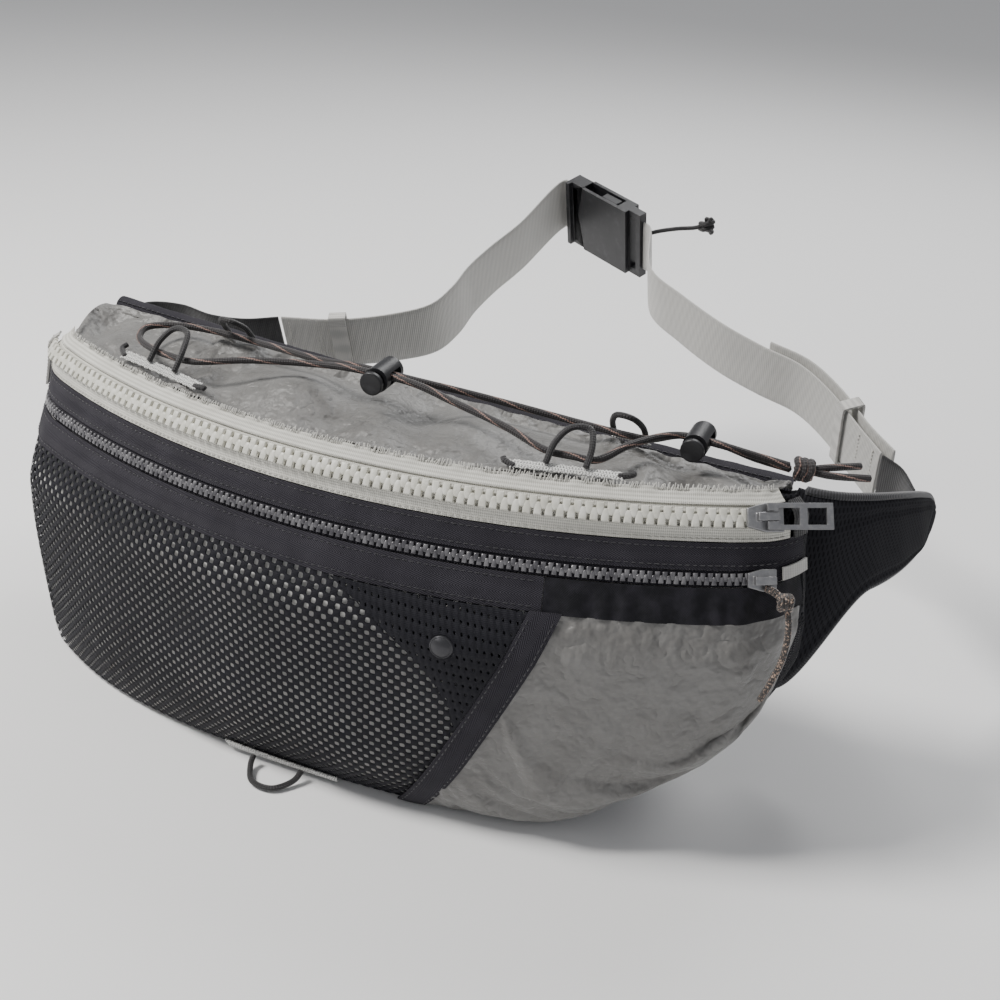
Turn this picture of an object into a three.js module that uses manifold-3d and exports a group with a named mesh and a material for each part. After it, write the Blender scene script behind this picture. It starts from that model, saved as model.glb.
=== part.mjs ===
// Waist pack: a curved hip bag with a zipped main compartment, a zipped front pocket, a mesh
// pocket, two wings and a webbing belt with a side-release buckle. Millimetres, +Z up, the front
// faces -Y, the belt loop stands behind towards +Y. The origin is the middle of the flat base.
import * as THREE from 'three';
import { mergeVertices } from 'three/addons/utils/BufferGeometryUtils.js';
import Module from 'manifold-3d';

const wasm = await Module();
wasm.setup();

// ---------------------------------------------------------------- driving sizes
const gap = 0.3;                 // play left between pieces that touch
const baseShift = 43;            // the back panel stands this far behind the base's middle
const zipRadius = 345;           // both zips follow arcs about one upright axis
const zipHalfAngle = 28;         // degrees each side of the middle
const zipFront = -80.4;          // depth of the main zip at the middle, from the back panel
const cornerRadius = 28;         // tighter turn at each end of the pack
const cornerAngle = 42;
const mainZipHeight = 146;
const frontZipHeight = 124.2;
const bellyDepth = 22;           // how far the front pocket stands out past the main zip
const bellyDrop = 54;            // height over which the belly comes out
const cornerRise = 76;           // the base lifts this much at its free end
const riseStart = 95;            // where along the front that lift begins
const topEdgeHeight = 153;
const rearEdgeHeight = 148.5;
const rearEdgeFall = 0.055;      // the rear edge sinks towards the zip's closed end
const backHalfWidth = 166;
const topCrown = 7;
const fabric = 1.2;
const webbingWidth = 32;
const webbingThick = 1.6;
const cordDiameter = 3;
const loopDiameter = 2.6;
const buckleWidth = 42;
const buckleThick = 11;
const socketLength = 36;
const plugBase = 24;

const deg = Math.PI / 180;
const arcEnd = zipRadius * zipHalfAngle * deg;
const sideEnd = arcEnd + cornerRadius * cornerAngle * deg;
const zipCentreY = zipFront + zipRadius;

const group = new THREE.Group();

// ---------------------------------------------------------------- small maths
function mix(a, b, t) {
  return a + (b - a) * t;
}

function smooth(t) {
  const c = Math.min(1, Math.max(0, t));
  return c * c * (3 - 2 * c);
}

function vec(x, y, z) {
  return new THREE.Vector3(x, y, z);
}

// ---------------------------------------------------------------- the front of the pack
// Distance u runs along the main zip from the middle; the line turns tighter past each end.
function planLine(u) {
  const side = u < 0 ? -1 : 1;
  const along = Math.abs(u);
  if (along <= arcEnd) {
    const a = along / zipRadius;
    return {
      x: side * zipRadius * Math.sin(a),
      y: zipCentreY - zipRadius * Math.cos(a),
      nx: side * Math.sin(a),
      ny: -Math.cos(a),
    };
  }
  const reach = zipRadius - cornerRadius;
  const a = zipHalfAngle * deg + (along - arcEnd) / cornerRadius;
  return {
    x: side * (reach * Math.sin(zipHalfAngle * deg) + cornerRadius * Math.sin(a)),
    y: zipCentreY - reach * Math.cos(zipHalfAngle * deg) - cornerRadius * Math.cos(a),
    nx: side * Math.sin(a),
    ny: -Math.cos(a),
  };
}

// How far the front stands out past the zip line at a height; the full end sags further out.
function belly(u, z) {
  if (z > mainZipHeight) {
    return -1.3 * (z - mainZipHeight);
  }
  const t = Math.min(1, (mainZipHeight - z) / bellyDrop);
  const out = bellyDepth * (0.35 * t + 0.65 * smooth(t));
  const tuck = mix(0.62, 0.18, smooth(-u / 130));
  return z < 50 ? out * (1 - tuck * Math.pow((50 - z) / 50, 2.5)) : out;
}

function baseLift(u) {
  const t = Math.max(0, (u - riseStart) / (sideEnd - riseStart));
  return cornerRise * Math.pow(t, 1.25) + 5 * smooth((-u - 130) / 60);
}

function frontPoint(u, z) {
  const p = planLine(u);
  const end = smooth((Math.abs(u) - arcEnd + 12) / (sideEnd - arcEnd + 12));
  const lift = baseLift(u) * Math.max(0, 1 - z / 103);
  const out = belly(u, z) * (z > mainZipHeight ? 1 : 1 - 0.6 * end);
  return vec(p.x + p.nx * out, p.y + p.ny * out, z + lift);
}

function frontNormal(u, z) {
  const du = frontPoint(u + 0.5, z).sub(frontPoint(u - 0.5, z));
  const dz = frontPoint(u, z + 0.5).sub(frontPoint(u, z - 0.5));
  return du.cross(dz).normalize();
}

function onFront(u, z, out) {
  return frontPoint(u, z).addScaledVector(frontNormal(u, z), out);
}

// ---------------------------------------------------------------- the top of the pack
function rearPoint(u) {
  const t = u / sideEnd;
  const x = backHalfWidth * t;
  return vec(x, 1.5, rearEdgeHeight - rearEdgeFall * x);
}

function topPoint(u, b) {
  const front = onFront(u, topEdgeHeight, -fabric);
  const p = front.lerp(rearPoint(u), b);
  const t = u / sideEnd;
  p.z += topCrown * Math.pow(Math.sin(Math.PI * Math.min(1, Math.max(0, b))), 0.8) * (1 - 0.6 * t * t);
  return p;
}

// Height of the outside of the top panel above a plan position, found by a short search.
function topAt(x, y) {
  let u = x;
  let b = 0.5;
  for (let i = 0; i < 12; i += 1) {
    const p = topPoint(u, b);
    u += (x - p.x) * 0.9;
    b += (y - p.y) / 75;
    b = Math.min(0.999, Math.max(0.001, b));
  }
  return topPoint(u, b).z + 1.3;
}

// ---------------------------------------------------------------- solid builders
// Turn every face over when the solid would be inside out.
function facingOut(points, index) {
  let volume = 0;
  const corner = (n) => vec(points[3 * n], points[3 * n + 1], points[3 * n + 2]);
  for (let i = 0; i < index.length; i += 3) {
    volume += corner(index[i]).dot(corner(index[i + 1]).cross(corner(index[i + 2])));
  }
  return volume < 0 ? index.slice().reverse() : index;
}

// A closed slab between two surfaces given over the unit square.
function slab(outer, inner, na, nb) {
  const points = [];
  const index = [];
  for (const surface of [outer, inner]) {
    for (let j = 0; j <= nb; j += 1) {
      for (let i = 0; i <= na; i += 1) {
        const p = surface(i / na, j / nb);
        points.push(p.x, p.y, p.z);
      }
    }
  }
  const row = na + 1;
  const back = row * (nb + 1);
  const quad = (a, b, c, d) => {
    index.push(a, b, c);
    index.push(a, c, d);
  };
  for (let j = 0; j < nb; j += 1) {
    for (let i = 0; i < na; i += 1) {
      const a = j * row + i;
      quad(a, a + 1, a + 1 + row, a + row);
      quad(back + a, back + a + row, back + a + 1 + row, back + a + 1);
    }
  }
  for (let i = 0; i < na; i += 1) {
    const low = i;
    const high = nb * row + i;
    quad(low, back + low, back + low + 1, low + 1);
    quad(high, high + 1, back + high + 1, back + high);
  }
  for (let j = 0; j < nb; j += 1) {
    const left = j * row;
    const right = j * row + na;
    quad(left, left + row, back + left + row, back + left);
    quad(right, back + right, back + right + row, right + row);
  }
  const geometry = new THREE.BufferGeometry();
  geometry.setAttribute('position', new THREE.Float32BufferAttribute(points, 3));
  geometry.setIndex(facingOut(points, index));
  return geometry;
}

// Fold lines shared by every panel of the front, so that stacked panels keep their gap.
const foldLines = [];
for (let i = -12; i <= 12; i += 1) {
  foldLines.push((i / 12) * arcEnd);
}
for (let i = 1; i <= 5; i += 1) {
  foldLines.unshift(-mix(arcEnd, sideEnd, i / 5));
  foldLines.push(mix(arcEnd, sideEnd, i / 5));
}
const rowStep = 6.6;

// Columns between two edges that may each be a number or a function of the height.
function columns(left, right, rows) {
  const at = (edge, z) => (typeof edge === 'function' ? edge(z) : edge);
  const lowest = Math.max(...rows.map((z) => at(left, z)));
  const highest = Math.min(...rows.map((z) => at(right, z)));
  const inner = foldLines.filter((u) => u > lowest + 0.3 && u < highest - 0.3);
  const list = [];
  const fill = (from, to) => {
    const wide = Math.max(...rows.map((z) => at(to, z) - at(from, z)));
    const inCorner = Math.max(...rows.map((z) => Math.abs(at(to, z)))) > arcEnd + 1;
    const parts = Math.max(1, Math.ceil(wide / (inCorner ? 4.2 : 15)));
    for (let k = 0; k < parts; k += 1) {
      list.push((z) => mix(at(from, z), at(to, z), k / parts));
    }
  };
  if (inner.length === 0) {
    fill(left, right);
  } else {
    fill(left, inner[0]);
    inner.forEach((u) => list.push(() => u));
    list.splice(list.length - 1, 1);
    fill(inner[inner.length - 1], right);
  }
  list.push((z) => at(right, z));
  return list;
}

// A panel of the front between two edges and two heights, at two distances from the surface.
function frontPanel(left, right, low, high, inside, outside) {
  const rows = [low];
  for (let z = Math.ceil((low + 0.5) / rowStep) * rowStep; z < high - 0.5; z += rowStep) {
    rows.push(z);
  }
  rows.push(high);
  const cols = columns(left, right, rows);
  const na = cols.length - 1;
  const nb = rows.length - 1;
  const place = (a, b, out) => {
    const z = rows[Math.round(b * nb)];
    return onFront(cols[Math.round(a * na)](z), z, out);
  };
  return slab((a, b) => place(a, b, outside), (a, b) => place(a, b, inside), na, nb);
}

function ribbon(points, wide, thick, width, steps) {
  const curve = new THREE.CatmullRomCurve3(points, false, 'centripetal');
  const place = (a, b, side) => {
    const p = curve.getPointAt(a);
    const along = curve.getTangentAt(a);
    const off = along.clone().cross(wide).normalize();
    const across = off.clone().cross(along).normalize();
    p.addScaledVector(across, (b - 0.5) * width);
    return p.addScaledVector(off, side * thick * 0.5);
  };
  return slab((a, b) => place(a, b, 1), (a, b) => place(a, b, -1), steps, 1);
}

function cord(points, diameter, steps, sides, closed) {
  const ring = new THREE.Shape();
  for (let i = 0; i < sides; i += 1) {
    const a = (i / sides) * Math.PI * 2;
    const x = Math.cos(a) * diameter * 0.5;
    const y = Math.sin(a) * diameter * 0.5;
    if (i === 0) {
      ring.moveTo(x, y);
    } else {
      ring.lineTo(x, y);
    }
  }
  ring.closePath();
  const path = new THREE.CatmullRomCurve3(points, Boolean(closed), 'centripetal');
  return new THREE.ExtrudeGeometry(ring, { steps, bevelEnabled: false, extrudePath: path });
}

function box(x0, x1, y0, y1, z0, z1) {
  const g = new THREE.BoxGeometry(x1 - x0, y1 - y0, z1 - z0);
  g.translate((x0 + x1) / 2, (y0 + y1) / 2, (z0 + z1) / 2);
  return g;
}

function rod(radius, length, sides) {
  return new THREE.CylinderGeometry(radius, radius, length, sides);
}

function solid(geometry) {
  const g = geometry.clone();
  g.deleteAttribute('normal');
  g.deleteAttribute('uv');
  const m = mergeVertices(g, 1e-4);
  const mesh = new wasm.Mesh({
    numProp: 3,
    vertProperties: new Float32Array(m.attributes.position.array),
    triVerts: new Uint32Array(m.index.array),
  });
  return new wasm.Manifold(mesh);
}

function fromSolid(shape) {
  const mesh = shape.getMesh();
  const g = new THREE.BufferGeometry();
  g.setAttribute('position', new THREE.Float32BufferAttribute(mesh.vertProperties, 3));
  g.setIndex(Array.from(mesh.triVerts));
  return g;
}

function join(list) {
  return fromSolid(wasm.Manifold.union(list.map(solid)));
}

function cut(body, tools) {
  return fromSolid(solid(body).subtract(wasm.Manifold.union(tools.map(solid))));
}

function add(name, geometry, colour, roughness, metalness) {
  const material = new THREE.MeshStandardMaterial({ color: colour, roughness, metalness: metalness || 0 });
  geometry.translate(0, baseShift, 0);
  const mesh = new THREE.Mesh(geometry, material);
  mesh.name = name;
  group.add(mesh);
}

const greyNylon = '#8b8a86';
const darkTape = '#4c4a55';
const blackMesh = '#1b1a20';
const offWhite = '#d6d5cb';
const strapGrey = '#bcbab4';
const blackPlastic = '#17171a';
const blackCord = '#1c1a1c';

// ---------------------------------------------------------------- base and back
const baseHalf = sideEnd - 4;
function basePoint(a, b, high) {
  const u = mix(-baseHalf, baseHalf, a);
  const p = onFront(u, 1.4, -2.2).lerp(vec(160 * (u / baseHalf), -0.8, 1.4), b);
  p.z = high + baseLift(u);
  return p;
}
add('base_panel', slab((a, b) => basePoint(a, b, 1.6), (a, b) => basePoint(a, b, 0), 40, 3), '#2a2930', 0.85);

// padded panel that lies against the wearer
const backHalf = 165;
const backThick = 9;
const backPlan = (x) => 0.00022 * x * x;
const backLow = (x) => 3.2 + baseLift(x * sideEnd / backHalf) + 10 * smooth((Math.abs(x) - 130) / 36);
const backHigh = (x) => rearEdgeHeight - 2.2 - rearEdgeFall * x;
function backPoint(a, b, out) {
  const x = mix(-backHalf, backHalf, a);
  return vec(x, backPlan(x) + out, mix(backLow(x), backHigh(x), b));
}
add('back_panel', slab((a, b) => backPoint(a, b, backThick), (a, b) => backPoint(a, b, 0), 20, 4), '#232228', 0.95);

// lining wall between the main compartment and the front pocket
add('divider_panel', frontPanel(-arcEnd, arcEnd, 8, 135, -14, -12.8), '#6f6e6c', 0.8);

// ---------------------------------------------------------------- front shell
const diagonalLine = (z) => mix(39, 91.5, Math.pow(Math.max(0, Math.min(1, z / 112)), 0.85));
const tapeHalf = 6;
const overlapLine = (z) => mix(60, 9, Math.pow(Math.max(0, (z - 50) / 58.5), 2.2));
const seamRight = (z) => mix(171, 184.4, z / 110);

add('front_panel', frontPanel(-sideEnd + 2, sideEnd - 2, 3, 120.6, -1.5, -0.3), '#c9c8c4', 0.8);
add('mesh_pocket', frontPanel(-sideEnd + 2, (z) => diagonalLine(z) - gap, 3, 109, 0, 0.9),
  blackMesh, 0.9);
add('mesh_overlap', frontPanel(overlapLine, (z) => diagonalLine(z) - tapeHalf - gap, 57, 108.5, 1.2, 2),
  '#141318', 0.9);
add('grey_pocket', frontPanel((z) => diagonalLine(z) + gap, seamRight, 3, 109, 0, 1.1),
  greyNylon, 0.55);
add('side_mesh', frontPanel((z) => seamRight(z) + gap, sideEnd - 2, 3, 109, 0, 0.9), blackMesh, 0.9);
add('diagonal_tape', frontPanel((z) => diagonalLine(z) - tapeHalf, (z) => diagonalLine(z) + tapeHalf,
  2.6, 109, 1.3, 2.5), darkTape, 0.85);
add('lower_tape', frontPanel(-sideEnd + 2, diagonalLine(110) - 2, 109.3, 121.3, 0, 1.2), darkTape, 0.85);
add('gathered_band', frontPanel(diagonalLine(110) - 2 + gap, sideEnd - 4, 109.3, 121.3, 0, 1.4),
  '#1d1c22', 0.9);
add('upper_tape', frontPanel(-sideEnd + 2, sideEnd - 2, 127.2, 136.8, -0.3, 1.1), darkTape, 0.85);

// snap fastener that closes the mesh pocket
const snapU = 54.7;
const snapZ = 92.4;
function onSnap(geometry, out) {
  const n = frontNormal(snapU, snapZ);
  const q = new THREE.Quaternion().setFromUnitVectors(vec(0, 1, 0), n);
  geometry.applyQuaternion(q);
  const p = onFront(snapU, snapZ, out);
  geometry.translate(p.x, p.y, p.z);
  return geometry;
}
const capProfile = [[0, 0], [4.6, 0], [4.6, 0.9], [3.9, 1.7], [2.2, 2.2], [0, 2.3]];
add('snap_cap', onSnap(new THREE.LatheGeometry(capProfile.map((p) => new THREE.Vector2(p[0], p[1])), 24), 2.35),
  '#1a191c', 0.4, 0.3);

// ---------------------------------------------------------------- zips
// One chain is a strip whose face rises and falls with every tooth.
function chain(height, half, pitch, base, rise, from, to) {
  const count = Math.round((to - from) / pitch);
  const steps = count * 2;
  const place = (a, b, out) => onFront(mix(from, to, a), mix(height - half, height + half, b), out);
  return slab(
    (a, b) => place(a, b, base + (Math.round(a * steps) % 2 === 0 ? rise : rise * 0.4)),
    (a, b) => place(a, b, 0.4 * base),
    steps, 1);
}
add('main_zip_chain', chain(mainZipHeight, 3.4, 4.2, 0.2, 1.7, -sideEnd + 3, 168), offWhite, 0.5);
add('front_zip_chain', chain(frontZipHeight, 2.2, 2.8, 0.2, 1.2, -sideEnd + 3, 168), '#3d3c42', 0.5);
add('main_zip_lower_tape', frontPanel(-sideEnd + 3, sideEnd - 9, 137.2, 142.3, -0.2, 0.9), offWhite, 0.8);
add('main_zip_upper_tape', frontPanel(-sideEnd + 3, sideEnd - 9, 149.7, 152.8, -0.2, 0.9), offWhite, 0.8);

// A slider stands on its chain; it is made flat, laid on the middle of the front and then swung
// round the zip's upright axis to where it is parked.
const sliderAngle = 27.9 * deg;
function onTrack(geometry, height, out) {
  const n = frontNormal(0, height);
  const along = vec(1, 0, 0);
  const up = n.clone().cross(along).normalize();
  const frame = new THREE.Matrix4().makeBasis(along, up, n);
  frame.setPosition(onFront(0, height, out));
  geometry.applyMatrix4(frame);
  geometry.translate(0, -zipCentreY, 0);
  geometry.rotateZ(sliderAngle);
  geometry.translate(0, zipCentreY, 0);
  return geometry;
}
function sliderBody(length, width, thick) {
  const outline = new THREE.Shape();
  outline.moveTo(-length / 2, -width * 0.32);
  outline.lineTo(0, -width / 2);
  outline.lineTo(length / 2, -width / 2);
  outline.lineTo(length / 2, width / 2);
  outline.lineTo(0, width / 2);
  outline.lineTo(-length / 2, width * 0.32);
  outline.closePath();
  const plate = new THREE.ExtrudeGeometry(outline, { depth: thick, bevelEnabled: false });
  const post = box(-3.6, -1.6, -1.6, 1.6, thick - 0.2, thick + 3.4);
  const postEnd = box(2.6, 4.6, -1.6, 1.6, thick - 0.2, thick + 3.4);
  const bridge = box(-3.6, 4.6, -1.6, 1.6, thick + 2.2, thick + 3.4);
  return join([plate, post, postEnd, bridge]);
}
add('main_slider', onTrack(sliderBody(14, 11, 2.2), mainZipHeight, 2.6), '#77787c', 0.35, 0.8);
add('front_slider', onTrack(sliderBody(11, 8.4, 1.8), frontZipHeight, 2.3), '#55555a', 0.35, 0.8);

// main puller: a flat tag with two long windows, hung on the slider's bridge
const tagPlate = box(-1.1, 24, -5, 5, 0, 1.4);
const tagWindows = [box(3, 11, -3.2, 3.2, -1, 3), box(14, 21.5, -3.2, 3.2, -1, 3)];
const tagEye = box(0, 2, -3.4, 3.4, 0, 1.4);
const tag = join([fromSolid(solid(tagPlate).subtract(wasm.Manifold.union(tagWindows.map(solid)))), tagEye]);
const tagThrough = cut(tag, [box(-0.4, 1.2, -2.2, 2.2, -1, 3)]);
tagThrough.translate(0.9, 0, 4.9 - 0.6);
add('main_puller', onTrack(cut(tagThrough, [box(-4, 5.2, -1.95, 1.95, 1, 8)]), mainZipHeight, 2.6),
  '#8a8b90', 0.3, 0.8);

// front puller: a cord through the slider, knotted beside it, with a long tail that hangs down
const pullStart = cord([vec(0.6, -3.3, 3.4), vec(3.4, -5.2, 5.4), vec(7, -8, 6)], 2.4, 6, 8);
const pullKnot = new THREE.SphereGeometry(3.6, 12, 8);
pullKnot.translate(7, -8, 6);
add('front_puller_knot', onTrack(join([pullStart, pullKnot]), frontZipHeight, 2.3), '#6b5f58', 0.7);
const pullTail = [vec(8.4, -12.3, 6), vec(9, -20, 4.6), vec(7.4, -30, 2.4), vec(3.4, -40, -0.8), vec(0.5, -46, -3.4)];
add('front_puller_cord', onTrack(cord(pullTail, 2.6, 18, 8), frontZipHeight, 2.3), '#6b5f58', 0.7);

// ---------------------------------------------------------------- top
add('top_panel', slab(
  (a, b) => {
    const p = topPoint(mix(-sideEnd, sideEnd, a), mix(0.012, 0.985, b));
    p.z += 1.2;
    return p;
  },
  (a, b) => topPoint(mix(-sideEnd, sideEnd, a), mix(0.012, 0.985, b)),
  40, 8), greyNylon, 0.5);

// ---------------------------------------------------------------- wings
function wingPoint(side, t, h, out) {
  const a = t * 78 * deg;
  const x = 169.5 + 50 * Math.sin(a) / Math.sin(78 * deg);
  const y = 8 + 84 * (1 - Math.cos(a)) / (1 - Math.cos(78 * deg));
  const round = t > 0.84 ? Math.sqrt(Math.max(0.08, 1 - Math.pow((t - 0.84) / 0.16, 2))) : 1;
  const low = mix(40, 88, smooth(t * 2));
  const high = 138 - 6 * t - 26 * t * t * t;
  const centre = (low + high) / 2;
  const half = ((high - low) / 2) * round;
  const slope = vec(50 * Math.cos(a) / Math.sin(78 * deg), 84 * Math.sin(a) / (1 - Math.cos(78 * deg)), 0);
  slope.normalize();
  return vec(side * (x + slope.y * out), y - slope.x * out, centre + (h - 0.5) * 2 * half);
}
for (const [name, side] of [['left_wing', -1], ['right_wing', 1]]) {
  const outer = (a, b) => wingPoint(side, a, b, 3);
  const inner = (a, b) => wingPoint(side, a, b, -3);
  add(name, side > 0 ? slab(outer, inner, 14, 5) : slab(inner, outer, 14, 5), blackMesh, 0.95);
}
// mesh gusset that closes each end between the front shell and the wing
for (const [name, side] of [['left_gusset', -1], ['right_gusset', 1]]) {
  const place = (a, b, out) => {
    const z = mix(6, 134, b);
    const front = onFront(side * (sideEnd - 1.6), z, -0.8);
    const end = vec(side * 166.4, 4, front.z);
    const p = front.lerp(end, a);
    p.x += side * (3.5 * Math.sin(Math.PI * a) + out);
    return p;
  };
  const outer = (a, b) => place(a, b, 1.2);
  const inner = (a, b) => place(a, b, 0);
  add(name, side > 0 ? slab(outer, inner, 4, 6) : slab(inner, outer, 4, 6), blackMesh, 0.95);
}

// ---------------------------------------------------------------- belt
// The belt loop lies in one plane that climbs towards the back.
const beltSlope = 0.337;
const beltAcross = vec(0, -beltSlope, 1).normalize();
const beltPoint = (x, y) => vec(x, y, 112 + (y - 90) * beltSlope);
const buckleCentre = beltPoint(8, 242);
const buckleAlong = vec(0.898, -0.441, -0.441 * beltSlope).normalize();
const buckleFace = buckleAlong.clone().cross(beltAcross).normalize();
const buckleFrame = new THREE.Matrix4().makeBasis(buckleAlong, beltAcross, buckleFace);
buckleFrame.setPosition(buckleCentre);
const toBuckle = (geometry) => geometry.applyMatrix4(buckleFrame);
const buckleLocal = (x, y, z) => vec(x, y, z).applyMatrix4(buckleFrame);

const beltPath = (list) => list.map((p) => beltPoint(p[0], p[1]));
const leftAnchor = beltPath([[-213, 78], [-206, 88], [-186, 92], [-165, 89], [-145, 91], [-128, 97.5]]);
add('left_anchor_webbing', ribbon(leftAnchor, beltAcross, webbingThick, webbingWidth, 18), '#18181b', 0.9);
const plugEnd = -socketLength / 2 - plugBase / 2 - 1;
const leftStrap = beltPath([[-126.4, 98], [-96, 105], [-68, 118], [-53, 130], [-48, 147], [-47, 166], [-43, 186], [-36, 210]]);
leftStrap.push(buckleLocal(plugEnd - 7, 0, 0), buckleLocal(plugEnd, 0, 0));
add('left_strap', ribbon(leftStrap, beltAcross, webbingThick, webbingWidth, 40), strapGrey, 0.85);
const rightStrap = [buckleLocal(socketLength / 2 + 9.6, 0, 0), buckleLocal(socketLength / 2 + 14, 0, 0)].concat(
  beltPath([[50, 191], [72, 174], [99, 157], [123, 146], [144, 138], [162, 123.5], [181, 102], [192.4, 89.6]]));
add('right_strap', ribbon(rightStrap, beltAcross, webbingThick, webbingWidth, 40), strapGrey, 0.85);
const rightAnchor = beltPath([[193.6, 88.6], [203, 83], [210.5, 72]]);
add('right_anchor_webbing', ribbon(rightAnchor, beltAcross, webbingThick, webbingWidth, 10), '#18181b', 0.9);
const rightTail = beltPath([[126, 150.4], [147, 142.6], [165.6, 127.4], [184.6, 105.6], [198, 93]]);
add('right_strap_tail', ribbon(rightTail, beltAcross, webbingThick, webbingWidth, 20), strapGrey, 0.85);

// webbing keepers: square loops that slide along a strap
function keeper(centre, along, width, thick, length) {
  const face = along.clone().cross(beltAcross).normalize();
  const frame = new THREE.Matrix4().makeBasis(along.clone().normalize(), beltAcross, face);
  frame.setPosition(centre);
  const ring = cut(box(-length / 2, length / 2, -width / 2, width / 2, -thick / 2, thick / 2),
    [box(-length, length, -width / 2 + 1.3, width / 2 - 1.3, -thick / 2 + 1.3, thick / 2 - 1.3)]);
  ring.applyMatrix4(frame);
  return ring;
}
const leftKeeperAt = beltPoint(-96, 105);
add('left_keeper', keeper(leftKeeperAt, beltPoint(-84, 109.4).sub(beltPoint(-109, 100.8)), 36.4, 6.6, 9), strapGrey, 0.8);

const rightKeeperAt = beltPoint(173.4, 115.6);
add('right_keeper', keeper(rightKeeperAt, beltPoint(184, 103).sub(beltPoint(163, 128)), 36.4, 12, 6), strapGrey, 0.8);

// ---------------------------------------------------------------- buckle
const halfWidth = buckleWidth / 2;
const socketOuter = box(-socketLength / 2, socketLength / 2, -halfWidth, halfWidth, -buckleThick / 2, buckleThick / 2);
const socketHollow = box(-socketLength / 2 - 1, socketLength / 2 - 5, -halfWidth + 3, halfWidth - 3, -3.6, 3.6);
const windowHigh = box(-socketLength, 10, halfWidth - 4, halfWidth + 1, -3.3, 3.3);
const windowLow = box(-socketLength, 10, -halfWidth - 1, -halfWidth + 4, -3.3, 3.3);
const socketBar = box(socketLength / 2 - 1, socketLength / 2 + 9, -halfWidth, halfWidth, -2.6, 2.6);
const socketSlot = box(socketLength / 2 + 1.2, socketLength / 2 + 5.4, -halfWidth + 4, halfWidth - 4, -4, 4);
add('buckle_socket', toBuckle(fromSolid(solid(socketOuter)
  .subtract(solid(socketHollow))
  .subtract(solid(windowHigh))
  .subtract(solid(windowLow))
  .add(solid(socketBar))
  .subtract(solid(socketSlot)))), blackPlastic, 0.35);

const plugEdge = -socketLength / 2 - gap;
const plugFrame = box(plugEdge - plugBase / 2, plugEdge, -halfWidth, halfWidth, -4.4, 4.4);
const plugSlot = box(plugEdge - plugBase / 2 + 3.4, plugEdge - 5.4, -halfWidth + 4, halfWidth - 4, -6, 6);
const plugTongue = box(plugEdge - 2, 9, -4, 4, -2.6, 2.6);
const gripRib = box(plugEdge - plugBase / 2, plugEdge - plugBase / 2 + 3, -halfWidth, halfWidth, -4.4, 7.4);
add('buckle_plug', toBuckle(fromSolid(solid(plugFrame).subtract(solid(plugSlot)).add(solid(plugTongue))
  .add(solid(gripRib)))), blackPlastic, 0.35);
// two sprung arms whose shoulders catch behind the socket's windows
for (const [name, side] of [['plug_arm_high', 1], ['plug_arm_low', -1]]) {
  const arm = box(plugEdge + gap, 8, side > 0 ? 11.8 : -15.4, side > 0 ? 15.4 : -11.8, -2.8, 2.8);
  const head = box(-5, 8, side > 0 ? 11.8 : -20.2, side > 0 ? 20.2 : -11.8, -2.8, 2.8);
  add(name, toBuckle(join([arm, head])), blackPlastic, 0.35);
}

// ---------------------------------------------------------------- cord loops on the top
// Each loop is a short cord held by a zigzag stitched strip.
function strip(name, x0, y0, x1, y1, width) {
  const place = (a, b, high) => {
    const x = mix(x0, x1, a);
    const y = mix(y0, y1, a);
    const along = vec(x1 - x0, y1 - y0, 0).normalize();
    const px = x - along.y * (b - 0.5) * width;
    const py = y + along.x * (b - 0.5) * width;
    return vec(px, py, topAt(px, py) + high);
  };
  add(name, slab((a, b) => place(a, b, 1.5), (a, b) => place(a, b, 0.35), 16, 2), '#cfcfcb', 0.8);
}
strip('strip_front_left', -124, -43.4, -74, -58.4, 5);
strip('strip_front_right', 66, -61, 110, -50, 5);
strip('strip_rear_left', -96, -8, -75, -9, 5);
strip('strip_rear_right', 90, -4.5, 107, -4.5, 5);

function onTop(x, y, high) {
  return vec(x, y, topAt(x, y) + high);
}
function loop(name, x0, y0, x1, y1, dx, dy, rise) {
  const half = loopDiameter / 2;
  const foot = 1.9 + half;
  const path = [
    onTop(x0, y0, foot),
    onTop(mix(x0, x1, 0.04) + dx * 0.5, mix(y0, y1, 0.04) + dy * 0.5, foot + rise * 0.6),
    onTop(mix(x0, x1, 0.28) + dx * 0.95, mix(y0, y1, 0.28) + dy * 0.95, foot + rise),
    onTop(mix(x0, x1, 0.72) + dx, mix(y0, y1, 0.72) + dy, foot + rise),
    onTop(mix(x0, x1, 0.96) + dx * 0.5, mix(y0, y1, 0.96) + dy * 0.5, foot + rise * 0.6),
    onTop(x1, y1, foot),
  ];
  add(name, cord(path, loopDiameter, 12, 8), blackCord, 0.7);
}
loop('loop_front_left', -106, -48.8, -90, -53.6, 2, 13, 9);
loop('loop_front_right', 80, -57.5, 95, -53.8, 1, 13, 9);
loop('loop_rear_left', -92, -8.2, -79, -8.8, 1, -12, 9);
loop('loop_rear_right', 91, -4.5, 105, -4.5, 0, -12, 9);

// binding tape round the rear edge of the top
function bindingPoint(a, b, high) {
  const x = mix(-backHalf, backHalf, a);
  return vec(x, backPlan(x) + mix(0.4, 9.6, b), backHigh(x) + gap + high);
}
add('rear_binding', slab(
  (a, b) => bindingPoint(a, b, 1.6 + 1.6 * Math.sin(Math.PI * mix(0.2, 0.8, b))),
  (a, b) => bindingPoint(a, b, 0),
  28, 3), '#3a3940', 0.85);

// short webbing tabs sewn over the zip ends
add('main_zip_end_tab', frontPanel(181, sideEnd - 1, 137.4, 149.4, 1.3, 2.4), '#1b1b1e', 0.85);
add('front_zip_end_tab', frontPanel(176, sideEnd - 1, 122, 126.9, 1.3, 2.3), '#7d7c7a', 0.85);
add('left_end_tab', frontPanel(-sideEnd + 0.5, -sideEnd + 6, 126, 149, 2.2, 3.4), '#d9d8d4', 0.85);

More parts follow.
